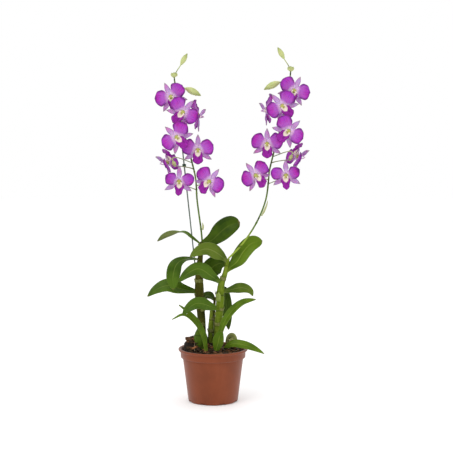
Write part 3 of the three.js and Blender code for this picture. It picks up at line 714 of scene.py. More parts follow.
class ORCHID_OT_bark(bpy.types.Operator):
    """Fills the pot with bark: a lumpy bed, loose flakes and a few dry roots"""

    bl_idname = "orchid.bark"
    bl_label = "Bark"

    def execute(self, context):
        draw = random.Random(7)
        rim = SHOULDER - 2.1
        self.bed(rim)
        self.flakes(draw, rim - 4.5, context.scene.orchid_pot.chips)
        self.roots(draw)
        return {"FINISHED"}

    def bed(self, rim):
        sides, rows = 72, 34
        wall = [(0, 3), (42, 3), (rim, BARK_EDGE - 14), (rim, BARK_EDGE - 4)]

        def place(u, v):
            row, turn = round(v * rows), -2 * pi * u
            if row < len(wall):
                radius, height = wall[row]
                return Vector((radius * cos(turn), radius * sin(turn), height))
            radius = rim * (1 - (row - 4) / (rows - 4))
            x, y = radius * cos(turn), radius * sin(turn)
            lump = noise.noise(Vector((x, y, 0)) / 7) * 2.2
            lump += noise.noise(Vector((x, y, 9)) / 3) * 1.1
            return Vector((x, y, heaped(x, y) - 2.2 + lump))

        soil = finish_of("bark_bed", bark_finish, (0.010, 0.006, 0.003), (0.035, 0.018, 0.008))
        bed = closed(shaped("bark_bed", sides, rows, place, soil))
        marked(bed, "tone", lambda p: clamp(0.5 + noise.noise(p / 9)))
        finished(bed, "bark", "bark_mix")

    def flakes(self, draw, far, count):
        blanks = [chip_blank(seed) for seed in range(6)]
        look = finish_of("bark_flake", bark_finish, (0.034, 0.022, 0.009), (0.38, 0.15, 0.055))
        chips = []
        for i in range(count):
            reach, turn = far * sqrt((i + 0.5) / count), i * GOLDEN_TURN
            x = reach * cos(turn) + draw.uniform(-2, 2)
            y = reach * sin(turn) + draw.uniform(-2, 2)
            chip = piece_of("chip", blanks[i % 6].data.copy(), look)
            for polygon in chip.data.polygons:
                polygon.use_smooth = False
            size = (draw.uniform(6, 13), draw.uniform(4, 8), draw.uniform(2, 4))
            tilt = Matrix.Rotation(draw.uniform(-0.5, 0.5), 4, "X")
            tilt = tilt @ Matrix.Rotation(draw.uniform(-0.4, 0.4), 4, "Y")
            spin = Matrix.Rotation(draw.uniform(0, FULL_TURN), 4, "Z")
            at = Vector((x, y, heaped(x, y) - 1.0 + draw.uniform(0, 1.6))) * MM
            chip.data.transform(Matrix.Translation(at) @ spin @ tilt @ Matrix.Diagonal((*size, 1)))
            # each chip's tone is drawn at random as its own colour; chips on the left are made
            # lighter more often, which is painted light
            lit = draw.random() + 0.34 * (x < -30)
            tone = 0.85 if lit > 0.9 else 0.45 if lit > 0.72 else 0.12 * lit
            chips.append(marked(chip, "tone", lambda p, tone=tone: tone))
        for blank_chip in blanks:
            bpy.data.objects.remove(blank_chip)
        finished(joined("bark_flakes", chips), "bark")

    def roots(self, draw):
        look = finish_of("dry_root", dry_finish, (0.20, 0.14, 0.08), (0.42, 0.34, 0.22))
        roots = []
        for i in range(9):
            start = Vector((draw.uniform(-44, 30), draw.uniform(-34, 6), 0))
            way = draw.uniform(0, FULL_TURN)
            line = []
            for k in range(5):
                x = start.x + 5.5 * k * cos(way + 0.35 * k * draw.uniform(-1, 1))
                y = start.y + 5.5 * k * sin(way)
                inward = min(1.0, 47 / max(1.0, hypot(x, y)))
                x, y = x * inward, y * inward
                line.append((x, y, heaped(x, y) + 1.4 + 1.4 * sin(k * 1.4 + i)))
            line = curve_points(line, 20)
            roots.append(tube(f"root_{i}", line, lambda t: 0.55 - 0.25 * t, 8, look))
        finished(joined("dry_roots", roots), "bark")


# ---- canes
# The line of each cane, in millimetres above the bark's edge, its radius at foot, belly and top,
# where along it the belly is, its look, and how far apart its joints are.
CANES = {
    "cane_left": (
        [(-16, 9, CANE_FOOT), (-19, 8, 36.5), (-24, 7, 101.5), (-24, 6, 146.5), (-19, 5, 191.5)],
        (5, 8, 3.6), 0.6, "old", 26,
    ),
    "cane_right": (
        [(4, -4, CANE_FOOT), (8, -5, 31.5), (12.5, -5, 86.5), (14.5, -5, 117.5),
         (21, -5, 137.5), (26, -5, 163.5)],
        (5, 7.2, 3.4), 0.6, "green", 27,
    ),
    "cane_young": (
        [(-5, 3, CANE_FOOT), (-4.5, 2, 21.5), (-3.5, 1, 51.5), (-3, 0, 79.5)],
        (3.6, 5, 2.4), 0.6, "green", 22,
    ),
    "cane_old": (
        [(6, 15, CANE_FOOT), (0, 15, 36.5), (3, 14, 93.5)], (3, 3.2, 2.2), 0.5, "old", 24,
    ),
    "bulb_short": (
        [(-20, -10, 8 + CANE_FOOT), (-21.5, -12, 24), (-23, -12, 49)],
        (5, 12, 3), 0.66, "bulb", 18,
    ),
}


def cane_line(name, count=60):
    return curve_points([(x, y, BARK_EDGE + z) for x, y, z in CANES[name][0]], count)


def cane_radius(name, t):
    _, (foot, belly, top), where = CANES[name][:3]
    if t < where:
        return foot + (belly - foot) * smooth(t / where)
    return top + (belly - top) * smooth((1 - t) / (1 - where))


def cane_looks():
    colours = {
        "old": ((0.036, 0.040, 0.002), (0.082, 0.082, 0.007), (0.018, 0.011, 0.002)),
        "green": ((0.10, 0.155, 0.006), (0.19, 0.25, 0.025), (0.035, 0.055, 0.003)),
        "bulb": ((0.048, 0.10, 0.004), (0.085, 0.15, 0.010), (0.02, 0.04, 0.003)),
    }
    return {key: finish_of(f"{key}_cane", cane_finish, *three) for key, three in colours.items()}


def rings(places, wide):
    """How near t is to one of the places, as soft rings."""
    return lambda t: sum(exp(-(((t - place) / wide) ** 2)) for place in places)


class ORCHID_OT_canes(bpy.types.Operator):
    """Grows the jointed canes, with the papery sheaths that wrap them"""

    bl_idname = "orchid.canes"
    bl_label = "Canes"

    def execute(self, context):
        looks = cane_looks()
        torn = finish_of("torn_sheath", dry_finish, (0.15, 0.22, 0.03), (0.30, 0.36, 0.10))
        papery = finish_of("sheath", dry_finish, (0.10, 0.11, 0.022), (0.24, 0.25, 0.08))
        for name, (_, _, _, look, pitch) in CANES.items():
            line = cane_line(name, 96)
            length = sum((b - a).length for a, b in zip(line, line[1:]))
            joints = [pitch * (k + 0.6) / length for k in range(int(length / pitch) + 1)]
            waist, ridge = rings(joints, 3.5 / length), rings(joints, 0.9 / length)
            cane = tube(
                f"{name}_skin", line,
                lambda t: cane_radius(name, t) * (1 - 0.05 * waist(t)) + 0.35 * ridge(t),
                40, looks[look],
            )
            marked(cane, "ring", lambda p: clamp(ridge(at_height(line, p.z)[1])))
            marked(
                cane, "shaded",
                lambda p: smooth(1 - (p.z - BARK_EDGE) / 70) * (0.4 + 0.6 * (p.y > 2)),
            )
            finished(cane, "old_cane" if look == "old" else "green_cane", name)
            if look == "bulb":
                continue
            wraps = [
                self.wrap(f"{name}_wrap_{k}", name, share, length, k * 2.1, papery)
                for k, share in enumerate(joints) if 0.2 < share < 0.93
            ]
            if name == "cane_right":
                turn = pi + 0.1
                wraps.append(self.wrap("torn_sheath", name, 0.6, length, turn, torn, 22, 3.2))
            if wraps:
                finished(joined(f"{name}_sheaths", wraps), "dry_leaf")
        return {"FINISHED"}

    def wrap(self, label, name, share, length, turn, look, tall=8.0, stand_off=0.9):
        """A torn sheath that hugs half of a cane above a joint and stands off it at its top."""
        steps = 120
        line = cane_line(name, steps)
        ways = tangents(line)

        def place(u, v):
            ragged = 1 - 0.35 * abs(sin(u * 7 + turn)) - 0.5 * abs(u - 0.5)
            t = clamp(share + v * tall * ragged / length)
            i = min(steps - 1, int(t * steps))
            at = line[i].lerp(line[i + 1], t * steps - i)
            a = (Vector((1, 0, 0)) - ways[i] * ways[i].x).normalized()
            b = ways[i].cross(a)
            swing = turn + (u - 0.5) * pi
            r = cane_radius(name, t) + 0.45 + stand_off * v * v
            return at + a * (r * cos(swing)) + b * (r * sin(swing))

        return thick(shaped(label, 18, 6, place, look), 0.3)


# ---- leaves
# How a sheet's half width runs along it: its share at the foot, where it is widest, and how its
# tip closes.
OUTLINES = {
    "leaf": (0.36, 0.45, 2.2, 0.5), "round": (0.36, 0.6, 2.6, 0.5), "strap": (0.6, 0.3, 2, 0.9),
    "blade": (0.24, 0.42, 2, 0.8), "spoon": (0.2, 0.6, 2.2, 0.7), "blunt": (0.3, 0.4, 4, 0.6),
    "paddle": (0.46, 0.58, 2.6, 0.5),
    "grass": (0.5, 0.5, 2, 0.75), "petal": (0.44, 0.58, 2.1, 0.6), "sepal": (0.3, 0.45, 1.8, 0.85),
}


def outline_at(name, t):
    foot, widest, power, blunt = OUTLINES[name]
    if t < widest:
        return foot + (1 - foot) * smooth(t / widest)
    return (1 - clamp((t - widest) / (1 - widest)) ** power) ** blunt


NARROWEST = 0.05

# One leaf: the cane or the place it grows from, the height up it, and the path from there.
Blade = namedtuple("Blade", "place height width outline fold face tip look wave path")
UP_FRONT = (-0.05, -0.62, 0.78)
LEAVES = {
    "leaf_left_top": (
        "cane_left", 186.5, 15, "leaf", 0.3, (0.15, -0.62, 0.77), (-0.25, 0.72, 0.65), "deep", 0.3,
        [(-22, -10, 23), (-42, -13, 23), (-58, -14, 18), (-71, -15, 9)],
    ),
    "leaf_left_crown": (
        "cane_left", 182.5, 36, "round", 0.16, (-0.3, -0.92, 0.25), None, "dark", 0.4,
        [(16, -6, 20), (38, -9, 39), (57, -11, 46)],
    ),
    "leaf_left_shoulder": (
        "cane_left", 160.5, 26, "leaf", 0.25, (-0.1, -0.45, 0.9), (-0.45, -0.85, 0.25), "deep", 0.5,
        [(-21, -10, 3), (-35, -15, -6), (-41, -18, -26), (-41, -19, -50)],
    ),
    "leaf_left_low": (
        "cane_left", 101.5, 27, "leaf", 0.3, (-0.1, -0.72, 0.7), None, "deep", 0.4,
        [(-22, -4, 8), (-46, -6, 14), (-66, -7, 7), (-81, -8, -4)],
    ),
    "leaf_right_crown": (
        "cane_right", 139.5, 31, "leaf", 0.2, (-0.4, -0.88, 0.26), None, "bright", 0.5,
        [(14, 1, 22), (28, 6, 46), (40, 9, 60), (56, 12, 56)],
    ),
    "leaf_right_over": (
        "cane_right", 158.5, 26, "leaf", 0.2, UP_FRONT, None, "olive", 0.5,
        [(-12, -13, 16), (-31, -22, 25), (-47, -28, 21), (-60, -31, 13)],
    ),
    "leaf_right_behind": (
        "cane_right", 154.5, 32, "round", 0.15, (-0.35, -0.8, 0.45), None, "dark", 0.3,
        [(-12, 10, 2), (-19, 14, -10), (-23, 16, -24)],
    ),
    "leaf_right_front": (
        "cane_right", 119.5, 29, "leaf", 0.25, UP_FRONT, None, "deep", 0.4,
        [(-14, -13, 18), (-33, -24, 30), (-51, -31, 23), (-67, -34, 9)],
    ),
    "leaf_right_out": (
        "cane_right", 103.5, 21, "leaf", 0.2, (0.1, -0.78, 0.6), None, "olive", 0.5,
        [(16, 1, 7), (32, 3, 8), (43, 4, 3), (48, 5, -6)],
    ),
    "leaf_right_hanging": (
        "cane_right", 103.5, 17, "leaf", 0.15, (0.3, -0.9, 0.3), None, "dark", 0.3,
        [(9, 18, 2), (15, 22, -30), (18, 22, -68)],
    ),
    "leaf_right_low": (
        "cane_right", 73.5, 27, "leaf", 0.25, UP_FRONT, None, "deep", 0.4,
        [(-18, -17, 13), (-33, -26, 16), (-47, -31, 8), (-57, -34, -3)],
    ),
    "leaf_back": (
        "cane_old", 87.5, 16, "leaf", 0.2, (-0.1, -0.6, 0.8), None, "dark", 0.3,
        [(-5, 6, 14), (-12, 10, 16), (-20, 13, 4)],
    ),
    "leaf_over_rim": (
        (14, -14), 0, 17, "leaf", 0.3, (-0.05, -0.5, 0.86), None, "bright", 0.4,
        [(18, -3, 20), (42, -8, 20), (60, -12, 13), (75, -16, 3)],
    ),
    "leaf_dry": (
        (31, 8), 0, 13, "strap", 0.5, (0.3, -0.1, 0.9), (0.5, -0.8, 0), "dry", 1.2,
        [(0, -4, 24), (3, -10, 29), (6, -16, 22), (6, -18, 12)],
    ),
}
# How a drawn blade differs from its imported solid: it is fuller, and shows more of its face.
FACING = (-0.1, -0.86, 0.5)
DRAWN = {
    "leaf_left_crown": {"outline": "paddle"},
    "leaf_left_top": {
        "outline": "spoon", "wide": 0.92, "face": (0.1, -0.75, 0.66), "tip": (-0.2, 0.85, 0.5),
    },
    "leaf_left_shoulder": {"outline": "spoon", "wide": 0.98, "tip": (-0.15, -0.98, 0.1)},
    "leaf_left_low": {"outline": "blade", "wide": 1.06},
    "leaf_right_crown": {
        "outline": "blunt", "wide": 0.98,
        "path": [(11, 1, 18), (22, 5, 36), (36, 8, 50), (55, 12, 55)],
    },
    "leaf_right_over": {"outline": "blade", "wide": 1.02, "face": FACING},
    "leaf_right_behind": {
        "outline": "blunt", "wide": 1.05, "face": (-0.15, -0.98, 0.1),
        "path": [(-7, 3, 1), (-16, 7, -3), (-25, 9, -10), (-33, 10, -20)],
    },
    "leaf_right_front": {"outline": "blade", "wide": 0.88, "face": FACING},
    "leaf_right_out": {"outline": "blade", "wide": 0.95},
    "leaf_right_hanging": {
        "outline": "grass", "wide": 1.2,
        "path": [(3, 18, 2), (7, 22, -30), (11, 22, -70)],
    },
    "leaf_right_low": {"outline": "blade", "wide": 0.85, "face": FACING},
    "leaf_back": {
        "outline": "blunt", "wide": 1.1,
        "path": [(-5, 6, 6), (-12, 10, 7), (-20, 13, -6)],
    },
    "leaf_over_rim": {
        "outline": "blade", "wide": 0.95, "face": (-0.05, -0.72, 0.7),
        "path": [(18, -3, 16), (42, -8, 15), (60, -12, 9), (75, -16, 2)],
    },
    "leaf_dry": {
        "outline": "blunt", "wide": 1.2, "face": (-0.3, -0.95, 0.1), "tip": (-0.3, -0.9, 0.3),
    },
}
SHOOTS = {
    "shoot_left": [
        (
            (-11, -25), 0, 12, "grass", 0.4, (0.25, -0.85, 0.45), None, "bright", 0.3,
            [(-4, -1, 32), (-12, -2, 52), (-25, -3, 70), (-48, 0, 89)],
        ),
        (
            (-12, -26), 0, 9, "grass", 0.35, (0.15, -0.75, 0.65), None, "bright", 0.3,
            [(-6, -2, 36), (-17, -4, 57), (-38, -6, 73), (-59, -7, 65)],
        ),
    ],
    "shoot_right": [
        (
            (2, -28), 0, 18, "spoon", 0.35, (-0.45, -0.8, 0.4), None, "bright", 0.3,
            [(10, 1, 34), (17, 4, 56), (31, 9, 77), (50, 13, 92), (73, 16, 97)],
        ),
        (
            (3, -27), 0, 26, "spoon", 0.3, (-0.3, -0.85, 0.4), None, "bright", 0.2,
            [(5, -2, 18), (9, -3, 34), (13, -3, 43)],
        ),
    ],
}
LEAF_DEPTH = 8
SHOOT_SHARE = 0.8  # how wide the blades of the basal shoots are drawn


def leaf_looks(settings):
    deep, fresh, rib = (tuple(c) for c in (settings.leaf_deep, settings.leaf_fresh, settings.rib))
    pale = (0.085, 0.115, 0.028), (0.15, 0.18, 0.06), (0.24, 0.28, 0.10)
    under = finish_of("leaf_under", leaf_finish, *pale, 0.2)
    # the first two colours of each look are the painted shade and the painted light of its green
    tops = {
        "deep": (deep, fresh, rib, 1.0),
        "dark": ((0.012, 0.034, 0.001), (0.052, 0.096, 0.004), (0.10, 0.14, 0.02), 0.8),
        "olive": ((0.030, 0.064, 0.002), (0.106, 0.156, 0.016), (0.24, 0.27, 0.08), 0.9),
        "bright": ((0.032, 0.075, 0.001), (0.106, 0.182, 0.008), (0.28, 0.35, 0.05), 1.0),
    }
    looks = {key: (finish_of(f"leaf_{key}", leaf_finish, *top), under) for key, top in tops.items()}
    looks["dry"] = (finish_of("leaf_dry", dry_finish, (0.20, 0.22, 0.06), (0.36, 0.38, 0.14)),) * 2
    return looks


def leaf_foot(plan):
    if isinstance(plan.place, str):
        return at_height(cane_line(plan.place, 120), BARK_EDGE + plan.height)[0]
    return Vector((*plan.place, bark_top(*plan.place) - LEAF_DEPTH))


def leaf_stations(plan, count):
    foot = leaf_foot(plan)
    points = [foot, *(foot + Vector(p) for p in plan.path)]
    return path_spine(points, plan.face, plan.tip or plan.face, count)


def moved_out(node, plan):
    """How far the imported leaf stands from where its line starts, off the cane's skin."""
    low, high = Vector((1e9,) * 3), Vector((-1e9,) * 3)
    for i, (at, side, up) in enumerate(leaf_stations(plan, 8)):
        half = plan.width / 2 * max(outline_at(plan.outline, i / 8), NARROWEST)
        for s in (-1, 0, 1):
            for t in (-0.7, 0.7):
                p = at + side * (s * half) + up * (abs(s) * half * plan.fold + t)
                low, high = Vector(map(min, low, p)), Vector(map(max, high, p))
    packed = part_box(node)
    shift = (packed[0] + packed[1]) / 2 / MM - (low + high) / 2
    return Vector((shift.x, shift.y, 0))


def drawn_plan(node, plan):
    differs = {"wide": 1, **DRAWN.get(node, {})}
    return plan._replace(width=plan.width * differs.pop("wide"), **differs)


def leaf_sheet(name, plan, looks, thickness, shift=Vector(), seed=0):
    """A blade with a channel, a groove over its rib, a rolled margin and a slow wave."""
    count = 44
    stations = leaf_stations(plan, count)
    width = plan.width
    groove = 0.06 * width

    def place(u, v):
        s = 1 - 2 * u
        at, side, up = stations[round(v * count)]
        x = s * (width / 2 * max(outline_at(plan.outline, v), 0.012))
        lift = plan.fold * (sqrt(x * x + groove) - sqrt(groove))
        lift *= 1 + 1.4 * (1 - smooth(v * 4))
        lift += plan.wave * sin(9 * v + seed * 1.7 + s * 1.3) * s * s * smooth(v * 3)
        lift -= 0.05 * width * s**4 * smooth(v * 2)
        lift -= 0.25 * exp(-((x / 0.9) ** 2)) * smooth(v * 5)
        return at + shift * smooth(v * 3.2) + side * x + up * lift

    return thick(shaped(name, 18, count, place, *looks), thickness / MM, under=1)


class ORCHID_OT_leaves(bpy.types.Operator):
    """Grows the leaves of the canes, the leaf over the rim and the dry leaf"""

    bl_idname = "orchid.leaves"
    bl_label = "Leaves"

    def execute(self, context):
        settings = context.scene.orchid_plant
        looks = leaf_looks(settings)
        for seed, (node, row) in enumerate(LEAVES.items()):
            plan = Blade(*row)
            blade = leaf_sheet(
                f"{node}_blade", drawn_plan(node, plan), looks[plan.look],
                settings.leaf_thickness, moved_out(node, plan), seed,
            )
            finished(blade, "dry_leaf" if plan.look == "dry" else "leaf", node)
        return {"FINISHED"}


class ORCHID_OT_shoots(bpy.types.Operator):
    """Grows the two fans of leaves at the foot of the canes"""

    bl_idname = "orchid.shoots"
    bl_label = "Basal shoots"

    def execute(self, context):
        settings = context.scene.orchid_plant
        looks = leaf_looks(settings)
        for node, rows in SHOOTS.items():
            fan = []
            for i, row in enumerate(rows):
                plan = Blade(*row)
                plan = plan._replace(width=plan.width * SHOOT_SHARE)
                thickness = settings.leaf_thickness
                fan.append(leaf_sheet(f"{node}_{i}", plan, looks[plan.look], thickness, seed=i))
            finished(joined(f"{node}_fan", fan), "leaf", node)
        return {"FINISHED"}


# ---- flower sprays
REACH = 27  # how far a bloom reaches; all on a spray is placed in steps of it
RACHIS = [
    (0, 0, 0), (-0.05, 0, 0.6), (-0.3, 0, 1.7), (-0.7, 0, 3.2), (-1.08, 0, 4.8), (-1.3, 0, 6),
    (-1.41, 0, 7.1),
]
# (node, centre, height it is joined at, the way it looks, lean of its top, how it differs)
BLOOMS = [
    ("bloom_1", (-1.57, -0.6, 5.76), 5.0, (-0.1, -1, 0.08), 26, {}),
    ("bloom_2", (-0.84, -1.3, 4.78), 4.1, (0, -1, 0.04), -42, {}),
    ("bloom_3", (0.2, 0.05, 4.62), 4.2, (-0.9, -0.4, 0.06), -84, {"rise": 40, "wave": 2.2}),
    ("bloom_4", (-1.15, -1.75, 3.2), 2.6, (-0.04, -1, 0.06), 48, {}),
    ("bloom_5", (0.13, -0.9, 2.38), 1.9, (0, -1, 0.04), 0, {}),
    ("bloom_6", (-1.97, -0.2, 1.62), 1.2, (0.86, -0.42, 0.3), 201, {"rise": 40, "wave": 1.4}),
    ("bloom_7", (-1.1, -0.9, 0.38), -0.15, (0.16, -1, -0.04), -3,
     {"rise": 40, "lip": 0.65, "wave": 2.0, "wide": 0.8}),
    ("bloom_8", (0.86, -1.05, 0.38), 0.1, (-0.34, -1, 0.06), -38, {}),
]
BUDS = [
    ("bud_side", (-0.72, -0.34, 6.36), (0.9, -0.05, -0.42), 1.0, 5.7),
    ("bud_hanging", (-1.5, -0.5, 1.72), (0.4, 0, -0.92), 0.38, 1.6),
]
BUD_LENGTH, BUD_RADIUS = 31, 6
BUD_PROFILE = [  # share of the length, share of the radius
    (0, 0.16), (0.12, 0.55), (0.34, 0.92), (0.5, 1.0), (0.72, 0.78), (0.9, 0.38), (1, 0.08),
]
STEM_FOOT, STEM_TIP = 1.6, 1.1
COLUMN_RADIUS, SPUR = 3.4, 8
PEDICEL = 0.95
STEM_STEPS = 240
TIP_BUDS = [
    (0, -1, 4), (3, 0, 3.4), (-3, 1, 3.6), (1.6, -2, 2.4), (-1.8, -1.6, 2.2), (0.5, 2, 2.8),
]


class Spray:
    """Where everything of one spray is; the right spray mirrors the left one."""

    def __init__(self, name, side, foot, foot_way, top, bract):
        self.name, self.side, self.top, self.bract = name, side, top, bract
        far = (top - foot).length
        rise = bezier_points(
            foot, foot + foot_way * (far * 0.33), top - Vector((0, 0, far * 0.3)), top, 5
        )
        self.line = curve_points([*rise[:-1], *(self.place(p) for p in RACHIS)], STEM_STEPS)
        self.cane_top = foot - Vector((2 * (side < 0), -(side < 0), STEM_FOOT + GAP + 4))

    def place(self, at):
        u, depth, height = at
        return self.top + Vector((self.side * u, depth, height)) * REACH

    def way(self, x, y, z):
        """A direction, mirrored for the right spray."""
        return Vector((self.side * x, y, z)).normalized()

    def on_stem(self, height):
        return at_height(self.line, self.top.z + height * REACH)

    def stalk(self, label, height, to, end, end_way, lead, steps, radius, look):
        """A stalk that leaves the stem's skin at a height and runs into a bud or a bloom."""
        centre, share = self.on_stem(height)
        way = to - centre
        way.z = 0
        way.normalize()
        start = centre + way * (lerp(STEM_FOOT, STEM_TIP, share) - 0.2)
        way.z = 0.35
        lead *= (start - to).length
        line = bezier_points(
            start, start + way.normalized() * lead, end - end_way * lead, end, steps
        )
        return tube(label, line, radius, 10, look)


def sprays():
    left, right = (cane_line(name)[-1] for name in ("cane_left", "cane_right"))
    lift = STEM_FOOT + GAP
    return [
        Spray("left", 1, left + Vector((0, 0, lift)), Vector((-0.06, 0, 1)).normalized(),
              Vector((-29, 4, BARK_EDGE + 288.5)), (-2.8, -2.3)),
        Spray("right", -1, right + Vector((2, -1, lift)), Vector((0.75, 0, 0.66)).normalized(),
              Vector((97, 4, BARK_EDGE + 299)), (-2.2, -1.15)),
    ]


class ORCHID_OT_stems(bpy.types.Operator):
    """Draws the two flower stems, their joints and their papery bracts"""

    bl_idname = "orchid.stems"
    bl_label = "Flower stems"

    def execute(self, context):
        colours = (0.070, 0.125, 0.018), (0.15, 0.23, 0.045), (0.016, 0.022, 0.008)
        look = finish_of("flower_stem", cane_finish, *colours)
        papery = finish_of("bract", dry_finish, (0.40, 0.42, 0.18), (0.62, 0.64, 0.36))
        heights = [bloom[2] for bloom in BLOOMS] + [bud[4] for bud in BUDS] + [6.9, -2.4, -4.2]
        for spray in sprays():
            line = spray.line
            shares = [spray.on_stem(h)[1] for h in heights]
            swell, ring = rings(shares, 0.005), rings(shares, 0.006)
            middle = line[0].lerp(spray.cane_top, 0.5)
            stem = tube(
                f"stem_{spray.name}",
                [*curve_points([spray.cane_top, middle, line[0]], 8)[:-1], *line],
                lambda t: lerp(STEM_FOOT, STEM_TIP, t) * (1 + 0.18 * clamp(swell(t))), 14, look,
            )
            marked(stem, "ring", lambda p: clamp(ring(at_height(line, p.z)[1])))
            lime = 0.9 * (spray.side < 0)
            marked(stem, "fresh", lambda p: lime * smooth(2.2 - 11 * at_height(line, p.z)[1]))
            finished(stem, "flower_stem", f"{spray.name}_stem")
            bract = self.bract(spray, papery)
            finished(bract, "dry_leaf", f"{spray.name}_bract")
        return {"FINISHED"}

    def bract(self, spray, look):
        steps = 24
        ways = tangents(spray.line)
        points = []
        for k in range(4):
            t = k / 3
            centre, share = spray.on_stem(lerp(*spray.bract, t))
            way = ways[round(share * STEM_STEPS)]
            apart = lerp(STEM_FOOT, STEM_TIP, share) + GAP + 1 + 1.4 * sin(t * pi * 0.8)
            points.append(centre + Vector((way.z, 0, -way.x)).normalized() * apart)
        stations = path_spine(points, (-0.2, -1, 0), (-0.2, -1, 0), steps)

        def place(u, v):
            at, side, up = stations[round(v * steps)]
            x = (0.5 - u) * 3.4 * max(outline_at("strap", v), 0.05)
            return at + side * x + up * (0.35 * x * x - 0.5 + 0.25 * sin(v * 11))

        return thick(shaped(f"bract_{spray.name}", 8, steps, place, look), 0.3)


def flower_sheet(
    label, spine, width, outline, look, thickness, fold, cup, wave, seed, across=16, along=22
):
    """A petal or a sepal: folded along its middle, cupped, with a wavy edge."""
    stations = arc_spine(*spine, along)

    def place(u, v):
        s = 1 - 2 * u
        at, side, up = stations[round(v * along)]
        x = s * width / 2 * max(outline_at(outline, v), 0.03)
        lift = fold * (sqrt(x * x + 2) - 1.414) + cup * s * s * smooth(v * 2)
        lift += wave * sin(7 * v + seed + 4.2 * s) * s * s * smooth(v * 2.5 - 0.5)
        lift += 0.35 * wave * sin(23 * v + 3 * seed) * s**4 * smooth(v * 3 - 1)
        x *= 1 + 0.05 * sin(11 * v + seed * 2 + 2 * s)
        return at + side * x + up * lift

    return thick(shaped(label, across, along, place, look), thickness / MM)


LIP_WIDTH = [
    (0, 0.35), (0.14, 0.82), (0.34, 1.0), (0.5, 0.86), (0.7, 0.9), (0.86, 0.7), (0.95, 0.42),
    (1.0, 0.1),
]
LIP_ANGLE = [(0, 70), (0.18, 54), (0.36, 34), (0.52, 18), (0.72, 4), (1.0, -16)]


def lip_sheet(label, look, thickness, narrow, seed):
    """The lip: two side lobes that stand up beside the column, and a flared middle lobe."""
    along = 34
    stations = arc_spine((0, -1.8, 1.6), 270, 46, 84, 24, along)

    def place(u, v):
        s = 1 - 2 * u
        at, side, up = stations[round(v * along)]
        half = 10.2 * through(v, LIP_WIDTH) * lerp(1, narrow, smooth(v * 3 - 1))
        angle = radians(through(v, LIP_ANGLE)) * min(1.0, abs(s) * 1.6)
        x, lift = s * half * cos(angle), abs(s) * half * sin(angle)
        lift += 0.6 * smooth(v * 3 - 1.2) * s**4 * sin(19 * v + seed)
        lift += 0.5 * exp(-((s / 0.12) ** 2)) * smooth(1.4 - 2 * v)
        return at + side * x + up * lift

    return thick(shaped(label, 20, along, place, look), thickness / MM)


def flower_looks(s):
    petal, rim, heart, lip, throat = (tuple(c) for c in (s.petal, s.rim, s.heart, s.lip, s.throat))
    pale_sepal = (0.70, 0.52, 0.77), (0.48, 0.29, 0.58), (0.28, 0.11, 0.37)
    cream = (0.80, 0.70, 0.62), (0.40, 0.40, 0.08), (0.50, 0.42, 0.16)
    mauve = (0.26, 0.30, 0.13), (0.62, 0.46, 0.60), (0.45, 0.36, 0.40)
    return {
        "petal": finish_of("petal", petal_finish, heart, petal, rim, 0.36),
        "sepal": finish_of("sepal", petal_finish, *pale_sepal, 0.5, 0.6),
        "lip": finish_of("lip", lip_finish, throat, lip, (0.11, 0.004, 0.13)),
        "column": finish_of("column", waxy_finish, *cream, 0.3, 0.55),
        "stalk": finish_of("flower_stalk", waxy_finish, *mauve),
    }


